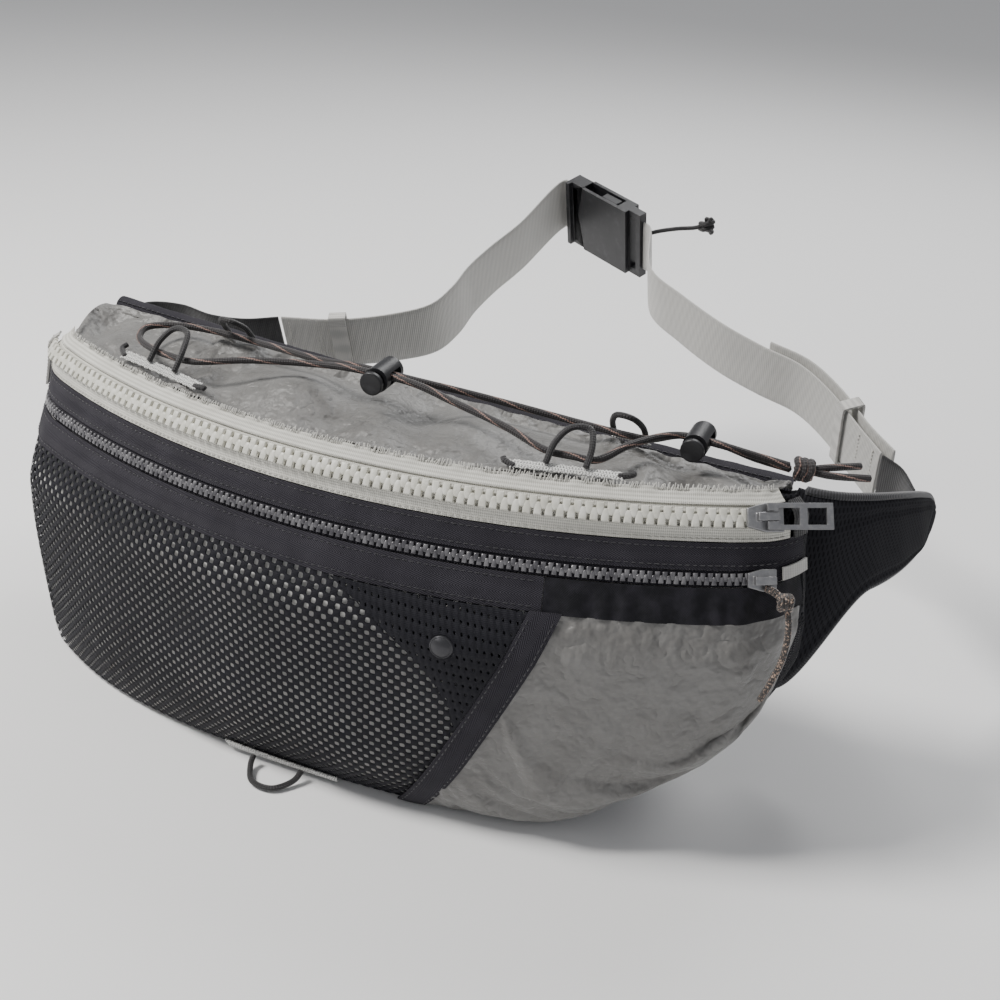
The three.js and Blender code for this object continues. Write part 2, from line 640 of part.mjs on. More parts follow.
// cord tied to the buckle for pulling it open
const lanyardPath = [buckleLocal(socketLength / 2 + 10.8, 8, -2), buckleLocal(socketLength / 2 + 14, 8, -9),
  buckleLocal(socketLength / 2 + 20, 8.4, -17), buckleLocal(socketLength / 2 + 26, 8, -25)];
add('buckle_cord', cord(lanyardPath, 2.4, 12, 8), blackCord, 0.7);
const lanyardKnot = new THREE.SphereGeometry(4.6, 12, 8);
const knotAt = buckleLocal(socketLength / 2 + 29.4, 8, -30);
lanyardKnot.translate(knotAt.x, knotAt.y, knotAt.z);
add('buckle_cord_knot', lanyardKnot, blackCord, 0.7);

// base strip and its loop, used for hanging things under the pack
const lowU = -18;
add('strip_base', frontPanel(lowU - 27, lowU + 27, 3.2, 7.4, 1.2, 2.2), '#cfcfcb', 0.8);
const lowEdge = frontPoint(lowU, 5);
const onGround = (x, y, z) => vec(lowEdge.x + x, lowEdge.y - y, z);
const baseLoop = [onGround(-12, 5, 5.4), onGround(-11.4, 8.5, 3), onGround(-6, 16, 1.7), onGround(4, 16.5, 1.7),
  onGround(10.6, 9, 2.8), onGround(12, 5, 5.4)];
add('loop_base', cord(baseLoop, loopDiameter, 18, 8), blackCord, 0.7);

// ---------------------------------------------------------------- shock cord and cord locks
const cordHigh = 1.3 + cordDiameter / 2;
function cordRoute(list, lift) {
  return list.map((p) => onTop(p[0], p[1], lift + (p[2] || 0)));
}
const mainRoute = [
  [164, -7.6, 3.6], [150, -10, 5], [136, -14.9, 6.6], [120, -14.7, 6.6], [106, -33, 3], [97, -48, 0.8], [88, -49.6, 0.8], [78, -50.4, 0.8],
  [58, -44, 2.4], [32, -37, 4], [12, -33.4, 6.2], [-15, -33.4, 6.2], [-34, -32, 3.6], [-62, -39, 2], [-86, -46, 0.8], [-98, -44.6, 0.8],
  [-109, -41.6, 0.8], [-120, -36, 1.6], [-122, -28, 2], [-112, -20, 1.6], [-96, -14.4, 0.8], [-86, -14.4, 0.8], [-75, -15, 0.8], [-56, -20, 2],
  [-34, -26, 3.6], [-15, -29.4, 6.2], [12, -29.4, 6.2], [36, -20, 3.4], [66, -12.6, 1.4], [88, -10.4, 0.8], [98, -10.4, 0.8], [108, -10.8, 1.6],
  [121, -11.6, 6.6], [136, -11.6, 6.6], [150, -6, 4], [164, -2.4, 3.4],
];
add('shock_cord', cord(cordRoute(mainRoute, cordHigh), cordDiameter, 78, 8), blackCord, 0.7);

// overhand knot that ties the two ends of the cord together, with its tails
const firstEnd = cordRoute([mainRoute[0]], cordHigh)[0];
const lastEnd = cordRoute([mainRoute[mainRoute.length - 1]], cordHigh)[0];
const tieAt = firstEnd.clone().lerp(lastEnd, 0.5).add(vec(5.6, 0.6, 0));
const tie = new THREE.SphereGeometry(4.9, 12, 8);
tie.translate(tieAt.x, tieAt.y, tieAt.z);
const tail = (x, y, z) => cord(
  [tieAt, tieAt.clone().add(vec(x * 0.4, y * 0.3, z)), tieAt.clone().add(vec(x, y, z * 0.5))],
  cordDiameter, 8, 8);
add('shock_cord_knot', join([tie, tail(20, 13, 0.6), tail(25, 7, -1.4)]), blackCord, 0.7);

// A cord lock: a barrel whose sprung plunger pinches the two cords that pass through it.
function cordLock(name, at, radius, tall, high) {
  const centre = vec(at[0], at[1], topAt(at[0], at[1]) + high);
  const barrel = rod(radius, tall, 24);
  const well = rod(radius - 1.6, tall, 24);
  well.translate(0, -2.4, 0);
  const passage = box(-20, 20, -tall / 2 + 3.6, tall / 2 - 2.2, -2.6, 2.6);
  const shell = cut(barrel, [well, passage]);
  shell.translate(centre.x, centre.y, centre.z);
  add(name + '_barrel', shell, blackPlastic, 0.35);
  const stem = rod(radius - 2.1, 5.7, 24);
  stem.translate(0, -tall / 2 + 0.25, 0);
  const button = rod(radius - 0.4, 2.4, 24);
  button.translate(0, -tall / 2 - 3.6, 0);
  const plunger = join([stem, button]);
  plunger.translate(centre.x, centre.y, centre.z);
  add(name + '_plunger', plunger, blackPlastic, 0.35);
}
cordLock('centre_lock', [-2, -31.4], 5.4, 15, 9);
cordLock('end_lock', [128.5, -13.4], 5.2, 15, 9.4);

export default group;
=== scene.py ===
import math

import bmesh
import bpy
import numpy as np
from mathutils import Matrix, Vector


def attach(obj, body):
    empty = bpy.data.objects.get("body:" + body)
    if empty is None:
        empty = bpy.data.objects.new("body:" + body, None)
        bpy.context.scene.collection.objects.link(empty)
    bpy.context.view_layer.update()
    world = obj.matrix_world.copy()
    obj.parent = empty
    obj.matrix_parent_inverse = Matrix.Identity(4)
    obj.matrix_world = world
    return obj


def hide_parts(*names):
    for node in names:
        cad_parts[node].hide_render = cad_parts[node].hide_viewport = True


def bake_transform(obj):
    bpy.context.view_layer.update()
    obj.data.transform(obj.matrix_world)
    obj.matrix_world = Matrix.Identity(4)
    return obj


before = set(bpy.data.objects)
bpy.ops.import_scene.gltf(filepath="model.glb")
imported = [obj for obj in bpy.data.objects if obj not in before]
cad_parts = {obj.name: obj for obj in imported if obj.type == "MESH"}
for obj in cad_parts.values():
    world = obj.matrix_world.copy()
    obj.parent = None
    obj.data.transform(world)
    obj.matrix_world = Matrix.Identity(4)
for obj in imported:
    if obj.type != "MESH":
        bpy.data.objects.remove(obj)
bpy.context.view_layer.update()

# ---------------------------------------------------------------------------------------------
# Camera, floor and light. The camera stands to the front right of the pack and looks down on
# it. A plain pale floor meets a soft studio light: a large key from the left, a weak fill.
azimuth, elevation, roll = math.radians(20.74), math.radians(28.06), math.radians(3.47)
backward = Vector((math.sin(azimuth) * math.cos(elevation),
                   -math.cos(azimuth) * math.cos(elevation), math.sin(elevation)))
level = Vector((math.cos(azimuth), math.sin(azimuth), 0))
upright = backward.cross(level)
rightward = level * math.cos(roll) + upright * math.sin(roll)
upward = upright * math.cos(roll) - level * math.sin(roll)
camera_place = (0.2200, -0.4306, 0.3743)
sensor_mm, lens_mm = 36, 46.29
camera = bpy.data.objects.new("camera", bpy.data.cameras.new("camera"))
camera.data.sensor_width = sensor_mm
camera.data.lens = lens_mm
camera.data.clip_start = 0.01
camera.matrix_world = Matrix.Translation(camera_place) @ Matrix(
    (rightward, upward, backward)).transposed().to_4x4()
bpy.context.collection.objects.link(camera)
bpy.context.scene.camera = camera


def soft_light(name, place, target, size, power, colour):
    lamp = bpy.data.objects.new(name, bpy.data.lights.new(name, "AREA"))
    lamp.data.shape = "DISK"
    lamp.data.size = size
    lamp.data.energy = power
    lamp.data.color = colour
    lamp.location = place
    lamp.rotation_euler = (Vector(target) - Vector(place)).to_track_quat("-Z", "Y").to_euler()
    bpy.context.collection.objects.link(lamp)


soft_light("key", (-0.80, -0.35, 1.25), (-0.05, 0.0, 0.1), 0.45, 28, (1.0, 0.98, 0.95))
soft_light("fill", (1.2, -0.9, 0.7), (0.05, 0.0, 0.1), 1.2, 0.9, (0.95, 0.97, 1.0))
soft_light("rear", (0.1, 1.1, 1.2), (0.0, 0.1, 0.1), 0.9, 13, (1.0, 1.0, 1.0))
world = bpy.data.worlds.new("studio")
world.use_nodes = True
world.node_tree.nodes["Background"].inputs["Color"].default_value = (0.96, 0.97, 1.0, 1)
world.node_tree.nodes["Background"].inputs["Strength"].default_value = 0.38
bpy.context.scene.world = world

floor_mesh = bpy.data.meshes.new("floor")
floor_mesh.from_pydata([(-60, -60, -0.0002), (60, -60, -0.0002), (60, 60, -0.0002), (-60, 60, -0.0002)],
    [], [(0, 1, 2, 3)])
floor = bpy.data.objects.new("floor", floor_mesh)
floor_paint = bpy.data.materials.new("pale_floor")
floor_paint.use_nodes = True
floor_paint.node_tree.nodes["Principled BSDF"].inputs["Base Color"].default_value = (0.86, 0.86, 0.86,
    1)
floor_paint.node_tree.nodes["Principled BSDF"].inputs["Roughness"].default_value = 0.9
floor.data.materials.append(floor_paint)
bpy.context.collection.objects.link(floor)

# ---------------------------------------------------------------------------------------------
# The shape that every sewn panel shares. Distances here are millimetres from the back panel:
# u runs along the main zip, z is height. The front is an arc about one upright axis with a
# tighter turn at each end, and it bellies out below the zip.
base_shift = 43
zip_radius, half_angle = 345, math.radians(28)
corner_radius, corner_angle = 28, math.radians(42)
zip_front = -80.4
zip_centre = zip_front + zip_radius
main_zip, front_zip = 146, 124.2
arc_end = zip_radius * half_angle
side_end = arc_end + corner_radius * corner_angle


def ease(t):
    c = np.clip(t, 0, 1)
    return c * c * (3 - 2 * c)


def blend_of(a, b, t):
    return a + (b - a) * t


def points(x, y, z):
    return np.stack(np.broadcast_arrays(x, y, z), axis=-1).astype(float)


def unit(v):
    v = np.asarray(v, float)
    return v / np.maximum(np.linalg.norm(v, axis=-1, keepdims=True), 1e-9)


def plan_line(u):
    side = np.where(u < 0, -1.0, 1.0)
    along = np.abs(u)
    straight = along <= arc_end
    turn = np.where(straight, along / zip_radius, half_angle + (along - arc_end) / corner_radius)
    reach = zip_radius - corner_radius
    x = np.where(straight, zip_radius * np.sin(turn),
                 reach * math.sin(half_angle) + corner_radius * np.sin(turn))
    y = np.where(straight, zip_centre - zip_radius * np.cos(turn),
                 zip_centre - reach * math.cos(half_angle) - corner_radius * np.cos(turn))
    return side * x, y, side * np.sin(turn), -np.cos(turn)


def belly(u, z):
    t = np.clip((main_zip - z) / 54, 0, 1)
    out = 22 * (0.35 * t + 0.65 * ease(t))
    tuck = blend_of(0.62, 0.18, ease(-u / 130))
    low = np.clip((50 - z) / 50, 0, 2) ** 2.5
    return np.where(z > main_zip, -1.3 * (z - main_zip), out * (1 - tuck * low))


def base_lift(u):
    t = np.clip((u - 95) / (side_end - 95), 0, 2)
    return 76 * t ** 1.25 + 5 * ease((-u - 130) / 60)


def front_point(u, z):
    u, z = np.broadcast_arrays(np.asarray(u, float), np.asarray(z, float))
    x, y, nx, ny = plan_line(u)
    end = ease((np.abs(u) - arc_end + 12) / (side_end - arc_end + 12))
    lift = base_lift(u) * np.clip(1 - z / 103, 0, 1)
    out = belly(u, z) * np.where(z > main_zip, 1, 1 - 0.6 * end)
    return points(x + nx * out, y + ny * out, z + lift)


def front_normal(u, z):
    return unit(np.cross(front_point(u + 0.5, z) - front_point(u - 0.5, z),
                         front_point(u, z + 0.5) - front_point(u, z - 0.5)))


def on_front(u, z, out):
    u, z, out = np.broadcast_arrays(*(np.asarray(v, float) for v in (u, z, out)))
    return front_point(u, z) + front_normal(u, z) * out[..., None]


def top_point(u, b):
    u, b = np.broadcast_arrays(np.asarray(u, float), np.asarray(b, float))
    front = on_front(u, 153.0, -1.2)
    t = u / side_end
    rear = points(166 * t, 1.5, 148.5 - 0.055 * 166 * t)
    p = front + (rear - front) * b[..., None]
    p[..., 2] += 7 * np.sin(math.pi * np.clip(b, 0, 1)) ** 0.8 * (1 - 0.6 * t * t)
    return p


def top_at(x, y):
    u, b = np.array(x, float), np.full(np.shape(x), 0.5)
    for _ in range(12):
        p = top_point(u, b)
        u = u + (x - p[..., 0]) * 0.9
        b = np.clip(b + (y - p[..., 1]) / 75, 0.001, 0.999)
    return top_point(u, b)[..., 2] + 1.3


def to_row(p):
    return (np.asarray(p, float) + [0, base_shift, 0]) * 0.001


# ---------------------------------------------------------------------------------------------
# Elastic cord. A 3 mm braided shock cord with a pale tracer zigzags over the top, through two
# cord locks and four loops, and its two ends are tied in one knot at the right.


class Field:
    """A number, colour or vector that varies over a surface, with arithmetic on numbers."""

    def __init__(self, finish, socket):
        self.finish = finish
        self.socket = socket

    def maths(self, operation, *rest):
        sockets = {i: v for i, v in enumerate((self,) + rest)}
        return self.finish.node("ShaderNodeMath", {"operation": operation}, sockets)

    def flipped(self, operation, first):
        return self.finish.node("ShaderNodeMath", {"operation": operation}, {0: first, 1: self})

    def __add__(self, other):
        return self.maths("ADD", other)

    def __sub__(self, other):
        return self.maths("SUBTRACT", other)

    def __rsub__(self, other):
        return self.flipped("SUBTRACT", other)

    def __mul__(self, other):
        return self.maths("MULTIPLY", other)

    def __truediv__(self, other):
        return self.maths("DIVIDE", other)

    def __gt__(self, other):
        return self.maths("GREATER_THAN", other)

    def __lt__(self, other):
        return self.maths("LESS_THAN", other)

    __radd__ = __add__
    __rmul__ = __mul__

    def wave(self, pitch, phase=0.0):
        """A sine from -1 to 1 that repeats every pitch."""
        return (self * (2 * math.pi / pitch) + phase).maths("SINE")

    def ramp(self, low, high):
        """0 below low, 1 above high, eased between."""
        return self.finish.node("ShaderNodeMapRange", {"interpolation_type": "SMOOTHSTEP"},
                                {"Value": self, "From Min": low, "From Max": high})


class Finish:
    """One material: constants go on its shader's own sockets, fields are linked to them."""

    def __init__(self, name, colour, **constants):
        self.material = bpy.data.materials.new(name)
        self.material.use_nodes = True
        self.tree = self.material.node_tree
        self.shader = self.tree.nodes["Principled BSDF"]
        self.shader.inputs["Base Color"].default_value = (*colour, 1)
        for socket, value in constants.items():
            self.shader.inputs[socket.replace("_", " ")].default_value = value

    def node(self, kind, settings, sockets, output=0):
        made = self.tree.nodes.new(kind)
        for setting, value in settings.items():
            setattr(made, setting, value)
        for socket, value in sockets.items():
            if isinstance(value, Field):
                self.tree.links.new(value.socket, made.inputs[socket])
            else:
                made.inputs[socket].default_value = value
        return Field(self, made.outputs[output])

    def along(self):
        """Distance along the cloth, from its UV, in metres."""
        place = self.node("ShaderNodeUVMap", {}, {})
        return self.node("ShaderNodeSeparateXYZ", {}, {0: place}, 0)

    def across(self):
        """Distance across the cloth, from its UV, in metres."""
        place = self.node("ShaderNodeUVMap", {}, {})
        return self.node("ShaderNodeSeparateXYZ", {}, {0: place}, 1)

    def mottle(self, scale, detail=3.0, roughness=0.55, stretch=None):
        """Cloudy noise from 0 to 1 in the piece's own space; scale is blotches per metre."""
        place = self.node("ShaderNodeTexCoord", {}, {}, 3)
        if stretch:
            place = self.node("ShaderNodeVectorMath", {"operation": "MULTIPLY"}, {0: place, 1: stretch})
        return self.node("ShaderNodeTexNoise", {},
                         {"Vector": place, "Scale": scale, "Detail": detail, "Roughness": roughness})

    def tint(self, first, second, share):
        """One colour turning into another by share; puts the result on Base Color."""
        mixed = self.node("ShaderNodeMix", {"data_type": "RGBA"},
            {0: share, 6: (*first, 1), 7: (*second, 1)}, 2)
        self.feed("Base Color", mixed)
        return mixed

    def feed(self, socket, field):
        self.tree.links.new(field.socket, self.shader.inputs[socket])

    def relief(self, height, strength=1.0):
        """Bumps whose height is in metres."""
        self.feed("Normal", self.node("ShaderNodeBump", {},
                                      {"Height": height, "Distance": 1.0, "Strength": strength}))


def braided(name, colour, tracer, spacing):
    f = Finish(name, colour, Roughness=0.62, Sheen_Weight=0.25, Sheen_Roughness=0.4)
    s, around = f.along(), f.across()
    one = (around * 12.0 + s * (1 / 0.0011)).wave(2.0)
    two = (around * 12.0 - s * (1 / 0.0011)).wave(2.0)
    strands = one * two
    line = (around * 2.0 - s / spacing).maths("FRACT")
    mark = (line > 0.86) * (strands > -0.35)
    f.tint(colour, tracer, mark * 0.75)
    f.relief(strands * 0.00012)
    return f.material


cord_braid = braided("cord_braid", (0.016, 0.013, 0.014), (0.36, 0.22, 0.18), 0.022)


def smooth_path(knots, count):
    """Points on a centripetal Catmull-Rom curve through the knots, evenly spaced."""
    k = np.asarray(knots, float)
    k = np.vstack([2 * k[0] - k[1], k, 2 * k[-1] - k[-2]])
    fine = []
    for i in range(1, len(k) - 2):
        p = k[i - 1:i + 3]
        t = np.concatenate([[0], np.cumsum(np.linalg.norm(np.diff(p, axis=0), axis=1) ** 0.5)])
        s = np.linspace(t[1], t[2], 24, endpoint=False)[:, None]
        a = [(t[j + 1] - s) / (t[j + 1] - t[j]) * p[j] + (s - t[j]) / (t[j + 1] - t[j]) * p[j + 1]
            for j in range(3)]
        b = [(t[j + 2] - s) / (t[j + 2] - t[j]) * a[j] + (s - t[j]) / (t[j + 2] - t[j]) * a[j + 1]
            for j in range(2)]
        fine.append((t[2] - s) / (t[2] - t[1]) * b[0] + (s - t[1]) / (t[2] - t[1]) * b[1])
    fine = np.vstack(fine + [k[-2][None]])
    run = np.concatenate([[0], np.cumsum(np.linalg.norm(np.diff(fine, axis=0), axis=1))])
    even = np.linspace(0, run[-1], count)
    return np.stack([np.interp(even, run, fine[:, c]) for c in range(3)], axis=1)


def mesh_piece(name, verts, faces, uvs, material, crease=50):
    """A smooth-shaded object from points in metres, one UV for each point."""
    mesh = bpy.data.meshes.new(name)
    mesh.from_pydata([tuple(v) for v in verts], [], faces)
    layer = mesh.uv_layers.new(name="UVMap")
    index = np.empty(len(mesh.loops), np.int32)
    mesh.loops.foreach_get("vertex_index", index)
    layer.data.foreach_set("uv", np.asarray(uvs, np.float32)[index].ravel())
    mesh.polygons.foreach_set("use_smooth", [True] * len(mesh.polygons))
    mesh.validate()
    mesh.set_sharp_from_angle(angle=math.radians(crease))
    mesh.materials.append(material)
    piece = bpy.data.objects.new(name, mesh)
    bpy.context.collection.objects.link(piece)
    return piece


def tube_of(path, radius, sides=12):
    """Points, faces and UVs of a round tube with domed ends; radius may vary along it."""
    path = np.asarray(path, float)
    count = len(path)
    radii = np.broadcast_to(np.asarray(radius, float), (count,)).copy()
    tangent = unit(np.gradient(path, axis=0))
    side = unit(np.cross(tangent[0], [0.31, 0.17, 0.93]))
    run = np.concatenate([[0], np.cumsum(np.linalg.norm(np.diff(path, axis=0), axis=1))])
    verts, uvs, faces = [], [], []
    for i in range(count):
        side = unit(side - tangent[i] * np.dot(side, tangent[i]))
        over = np.cross(tangent[i], side)
        for k in range(sides + 1):
            a = 2 * math.pi * k / sides
            verts.append(path[i] + (side * math.cos(a) + over * math.sin(a)) * radii[i])
            uvs.append((run[i], k / sides))
    row = sides + 1
    for i in range(count - 1):
        for k in range(sides):
            a = i * row + k
            faces.append((a, a + 1, a + 1 + row, a + row))
    for i, way in ((0, -1), (count - 1, 1)):
        tip = len(verts)
        verts.append(path[i] + tangent[i] * way * radii[i] * 0.45)
        uvs.append((run[i], 0.5))
        for k in range(sides):
            a = i * row + k
            faces.append((a + 1, a, tip) if way < 0 else (a, a + 1, tip))
    return verts, faces, uvs


def weld(piece, distance=1e-6):
    made = bmesh.new()
    made.from_mesh(piece.data)
    bmesh.ops.remove_doubles(made, verts=made.verts, dist=distance)
    bmesh.ops.recalc_face_normals(made, faces=made.faces)
    made.to_mesh(piece.data)
    made.free()
    return piece


def cord_piece(name, path_mm, diameter_mm, material):
    path = to_row(path_mm)
    verts, faces, uvs = tube_of(path, diameter_mm * 0.0005)
    return mesh_piece(name, verts, faces, uvs, material, 80), path


def path_length(path):
    return float(np.linalg.norm(np.diff(path, axis=0), axis=1).sum())


cord_route = [
    (164, -7.6, 3.6), (150, -10, 5), (136, -14.9, 6.6), (120, -14.7, 6.6), (106, -33, 3),
        (97, -48, 0.8), (88, -49.6, 0.8),
    (78, -50.4, 0.8), (58, -44, 2.4), (32, -37, 4), (12, -33.4, 6.2), (-15, -33.4, 6.2),
    (-34, -32, 3.6), (-62, -39, 2),
    (-86, -46, 0.8), (-98, -44.6, 0.8), (-109, -41.6, 0.8), (-120, -36, 1.6), (-122, -28, 2),
    (-112, -20, 1.6),
    (-96, -14.4, 0.8), (-86, -14.4, 0.8), (-75, -15, 0.8), (-56, -20, 2), (-34, -26, 3.6),
    (-15, -29.4, 6.2),
    (12, -29.4, 6.2), (36, -20, 3.4), (66, -12.6, 1.4), (88, -10.4, 0.8), (98, -10.4, 0.8),
    (108, -10.8, 1.6),
    (121, -11.6, 6.6), (136, -11.6, 6.6), (150, -6, 4), (164, -2.4, 3.4)]
cord_knots = [(x, y, float(top_at(x, y)) + 2.8 + lift) for x, y, lift in cord_route]
cord_line = smooth_path(cord_knots, 640)
shock_cord, shock_path = cord_piece("shock_cord_braid", cord_line, 3.0, cord_braid)
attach(shock_cord, "pack")
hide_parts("shock_cord")

# the knot at the right: the doubled cord wound on itself, and its two tails
tie_at = (np.array(cord_knots[0]) + np.array(cord_knots[-1])) / 2 + [5.6, 0.6, 0]
turns = []
for t in np.linspace(0, 1, 90):
    a = 2 * math.pi * 2.6 * t
    turns.append(tie_at + [(t - 0.5) * 6.4 + 0.5 * math.sin(3 * a), 3.3 * math.cos(a),
        3.5 * math.sin(a)])
knot_verts, knot_faces, knot_uvs = tube_of(to_row(turns), 0.00155, 10)
for tip, bow in (((20, 13, 0.6), (8, 3.0, 1.4)), ((25, 7, -1.0), (10, 1.0, -0.6))):
    tail_path = smooth_path([tie_at + [-3.5, 0, 0], tie_at, tie_at + bow, tie_at + tip], 24)
    v, f, q = tube_of(to_row(tail_path), 0.0015, 10)
    knot_faces += [tuple(i + len(knot_verts) for i in face) for face in f]
    knot_verts += v
    knot_uvs += q
cord_tie = mesh_piece("shock_cord_tie", knot_verts, knot_faces, knot_uvs, cord_braid, 80)
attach(cord_tie, "pack")
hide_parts("shock_cord_knot")
shock_path[::4].tolist() + [shock_path[-1].tolist()]

# ---------------------------------------------------------------------------------------------
# Cord loops. Four short loops of 2.6 mm cord stand on the top and one hangs under the base.
# Each is caught under a white strip of dense zigzag stitching, with its cut ends curling out.
loop_braid = braided("loop_braid", (0.013, 0.012, 0.013), (0.05, 0.045, 0.05), 0.03)
bartack = Finish("bartack_stitching", (0.66, 0.66, 0.64), Roughness=0.7, Sheen_Weight=0.3)
bar_s, bar_w = bartack.along(), bartack.across()
bar_weave = (bar_s.wave(0.0011) * 1.0 + bar_w.wave(0.0016) * 0.6)
bartack.tint((0.30, 0.30, 0.30), (0.78, 0.78, 0.75), bar_weave.ramp(-1.3, 0.7))
bartack.relief(bar_weave * 0.0001)


def on_top(x, y, high):
    return np.array([x, y, float(top_at(x, y)) + high])


def cord_loop(name, x0, y0, x1, y1, dx, dy, rise):
    foot = 3.2
    steps = ((0, 0, 0), (0.04, 0.5, 0.6), (0.28, 0.95, 1), (0.72, 1, 1), (0.96, 0.5, 0.6), (1, 0, 0))
    knots = [on_top(x0 + (x1 - x0) * t + dx * k, y0 + (y1 - y0) * t + dy * k, foot + rise * h) for t, k,
        h in steps]
    piece, path = cord_piece(name + "_cord", smooth_path(knots, 60), 2.6, loop_braid)
    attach(piece, "pack")
    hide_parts(name)
    path[::3].tolist() + [path[-1].tolist()]


cord_loop("loop_front_left", -106, -48.8, -90, -53.6, 2, 13, 9)
cord_loop("loop_front_right", 80, -57.5, 95, -53.8, 1, 13, 9)
cord_loop("loop_rear_left", -92, -8.2, -79, -8.8, 1, -12, 9)
cord_loop("loop_rear_right", 91, -4.5, 105, -4.5, 0, -12, 9)


def zigzag_strip(name, start, end, width, place):
    """A padded bar of zigzag thread between two points; place gives a point at (x, y, height)."""
    x0, y0 = start
    x1, y1 = end
    size = math.hypot(x1 - x0, y1 - y0)
    ax, ay = (x1 - x0) / size, (y1 - y0) / size
    count = int(size / 1.15)
    verts, faces, uvs = [], [], []
    for i in range(count * 2):
        t = (i + 0.5) / (count * 2)
        side = 1 if i % 2 else -1
        lean = 0.8 / size
        ends = []
        for w, s in ((-0.5, t - lean * side), (0.5, t + lean * side)):
            wide = w * width * (0.96 + 0.12 * math.sin(i * 2.3))
            for h, q in ((0.55, 0.25), (0.95, 0.75), (1.15, 1.0)):
                ends.append(place(x0 + (x1 - x0) * s - ay * wide * q,
                    y0 + (y1 - y0) * s + ax * wide * q, h))
        path = np.array([ends[0], ends[1], ends[2], ends[5], ends[4], ends[3]])
        v, f, q = tube_of(to_row(smooth_path(path[[1, 2, 3, 4]], 7)), 0.00042, 6)
        faces += [tuple(k + len(verts) for k in face) for face in f]
        verts += v
        uvs += [(a + i * 0.0013, b * 0.002) for a, b in q]
    piece = mesh_piece(name + "_stitching", verts, faces, uvs, bartack.material, 80)
    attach(piece, "pack")
    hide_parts(name)
    return piece


def above_top(x, y, high):
    return on_top(x, y, high + 0.35)


zigzag_strip("strip_front_left", (-123, -43.7), (-75, -58.1), 4.8, above_top)
zigzag_strip("strip_front_right", (67, -60.8), (109, -50.2), 4.8, above_top)
zigzag_strip("strip_rear_left", (-95, -8), (-76, -9), 4.8, above_top)
zigzag_strip("strip_rear_right", (91, -4.5), (106, -4.5), 4.8, above_top)

# the cut ends of the loop cords curl out at the ends of the front strips
end_verts, end_faces, end_uvs = [], [], []
for x, y, dx, dy in ((-124, -43, -3.2, 2.6), (-74, -58.6, 3.6, -0.4), (66, -61, -3.4, 0.8),
    (110, -49.6, 3.4, 1.6)):
    stub = smooth_path([on_top(x - dx * 0.8, y - dy * 0.8, 1.6), on_top(x, y, 1.7),
        on_top(x + dx * 0.7, y + dy, 2.0),
                        on_top(x + dx * 0.5, y + dy * 2.0, 1.8)], 14)
    v, f, q = tube_of(to_row(stub), 0.0012, 10)
    end_faces += [tuple(k + len(end_verts) for k in face) for face in f]
    end_verts += v
    end_uvs += q
cut_ends = mesh_piece("loop_cut_ends", end_verts, end_faces, end_uvs, loop_braid, 80)
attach(cut_ends, "pack")

low_u = -18
low_edge = front_point(low_u, 5.0)
base_knots = [low_edge + [x, -y, 0] for x,
    y in ((-12, 5), (-11.4, 8.5), (-6, 16), (4, 16.5), (10.6, 9), (12, 5))]
for knot, z in zip(base_knots, (5.4, 3, 1.7, 1.7, 2.8, 5.4)):
    knot[2] = z
base_loop, base_path = cord_piece("loop_base_cord", smooth_path(base_knots, 70), 2.6, loop_braid)
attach(base_loop, "pack")
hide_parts("loop_base")
base_path[::3].tolist() + [base_path[-1].tolist()]


def on_low_front(x, y, high):
    return on_front(np.array(x), np.array(5.2 + y), np.array(0.9 + high))


zigzag_strip("strip_base", (low_u - 26.5, 0.0), (low_u + 26.5, 0.0), 4.0, on_low_front)

# ---------------------------------------------------------------------------------------------
# Buckle cord and front zip pull. A thin cord is knotted to the buckle for pulling it open; the
# front zip is drawn by a fleck-woven cord knotted beside the slider, with a long limp tail.
belt_slope = 0.337
belt_across = unit(np.array([0, -belt_slope, 1.0]))


def belt_point(x, y):
    return np.array([x, y, 112 + (y - 90) * belt_slope])


buckle_along = unit(np.array([0.898, -0.441, -0.441 * belt_slope]))
buckle_face = unit(np.cross(buckle_along, belt_across))
buckle_centre = belt_point(8, 242)
socket_length, plug_base = 36, 24


def in_buckle(x, y, z):
    return buckle_centre + buckle_along * x + belt_across * y + buckle_face * z


lanyard_knot = in_buckle(socket_length / 2 + 29.4, 8, -30)
lanyard, lanyard_path = cord_piece("buckle_pull_cord", smooth_path(
    [in_buckle(28.8, 8, -2), in_buckle(32, 8, -9), in_buckle(38, 8.4, -17), in_buckle(44, 8, -25),
     lanyard_knot + [0, 0, 1.0]], 50), 2.4, loop_braid)
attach(lanyard, "pack")
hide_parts("buckle_cord")
knot_turns = []
for t in np.linspace(0, 1, 80):
    a = 2 * math.pi * 2.3 * t
    knot_turns.append(lanyard_knot + [3.0 * math.cos(a) + 1.0 * math.sin(2 * a), 3.0 * math.sin(a),
        (t - 0.5) * 6.6])
v, f, q = tube_of(to_row(knot_turns), 0.0014, 10)
for tip in ((3.2, -1.5, 5.4), (4.8, -2.6, -2.4)):
    more, faces, uv = tube_of(to_row(smooth_path([lanyard_knot, lanyard_knot + np.array(tip) * 0.6,
                                                  lanyard_knot + np.array(tip)], 12)), 0.0012, 10)
    f += [tuple(k + len(v) for k in face) for face in faces]
    v += more
    q += uv
lanyard_tie = mesh_piece("buckle_pull_knot", v, f, q, loop_braid, 80)
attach(lanyard_tie, "pack")
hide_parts("buckle_cord_knot")
lanyard_path[::3].tolist() + [lanyard_path[-1].tolist()]

slider_angle = math.radians(27.9)


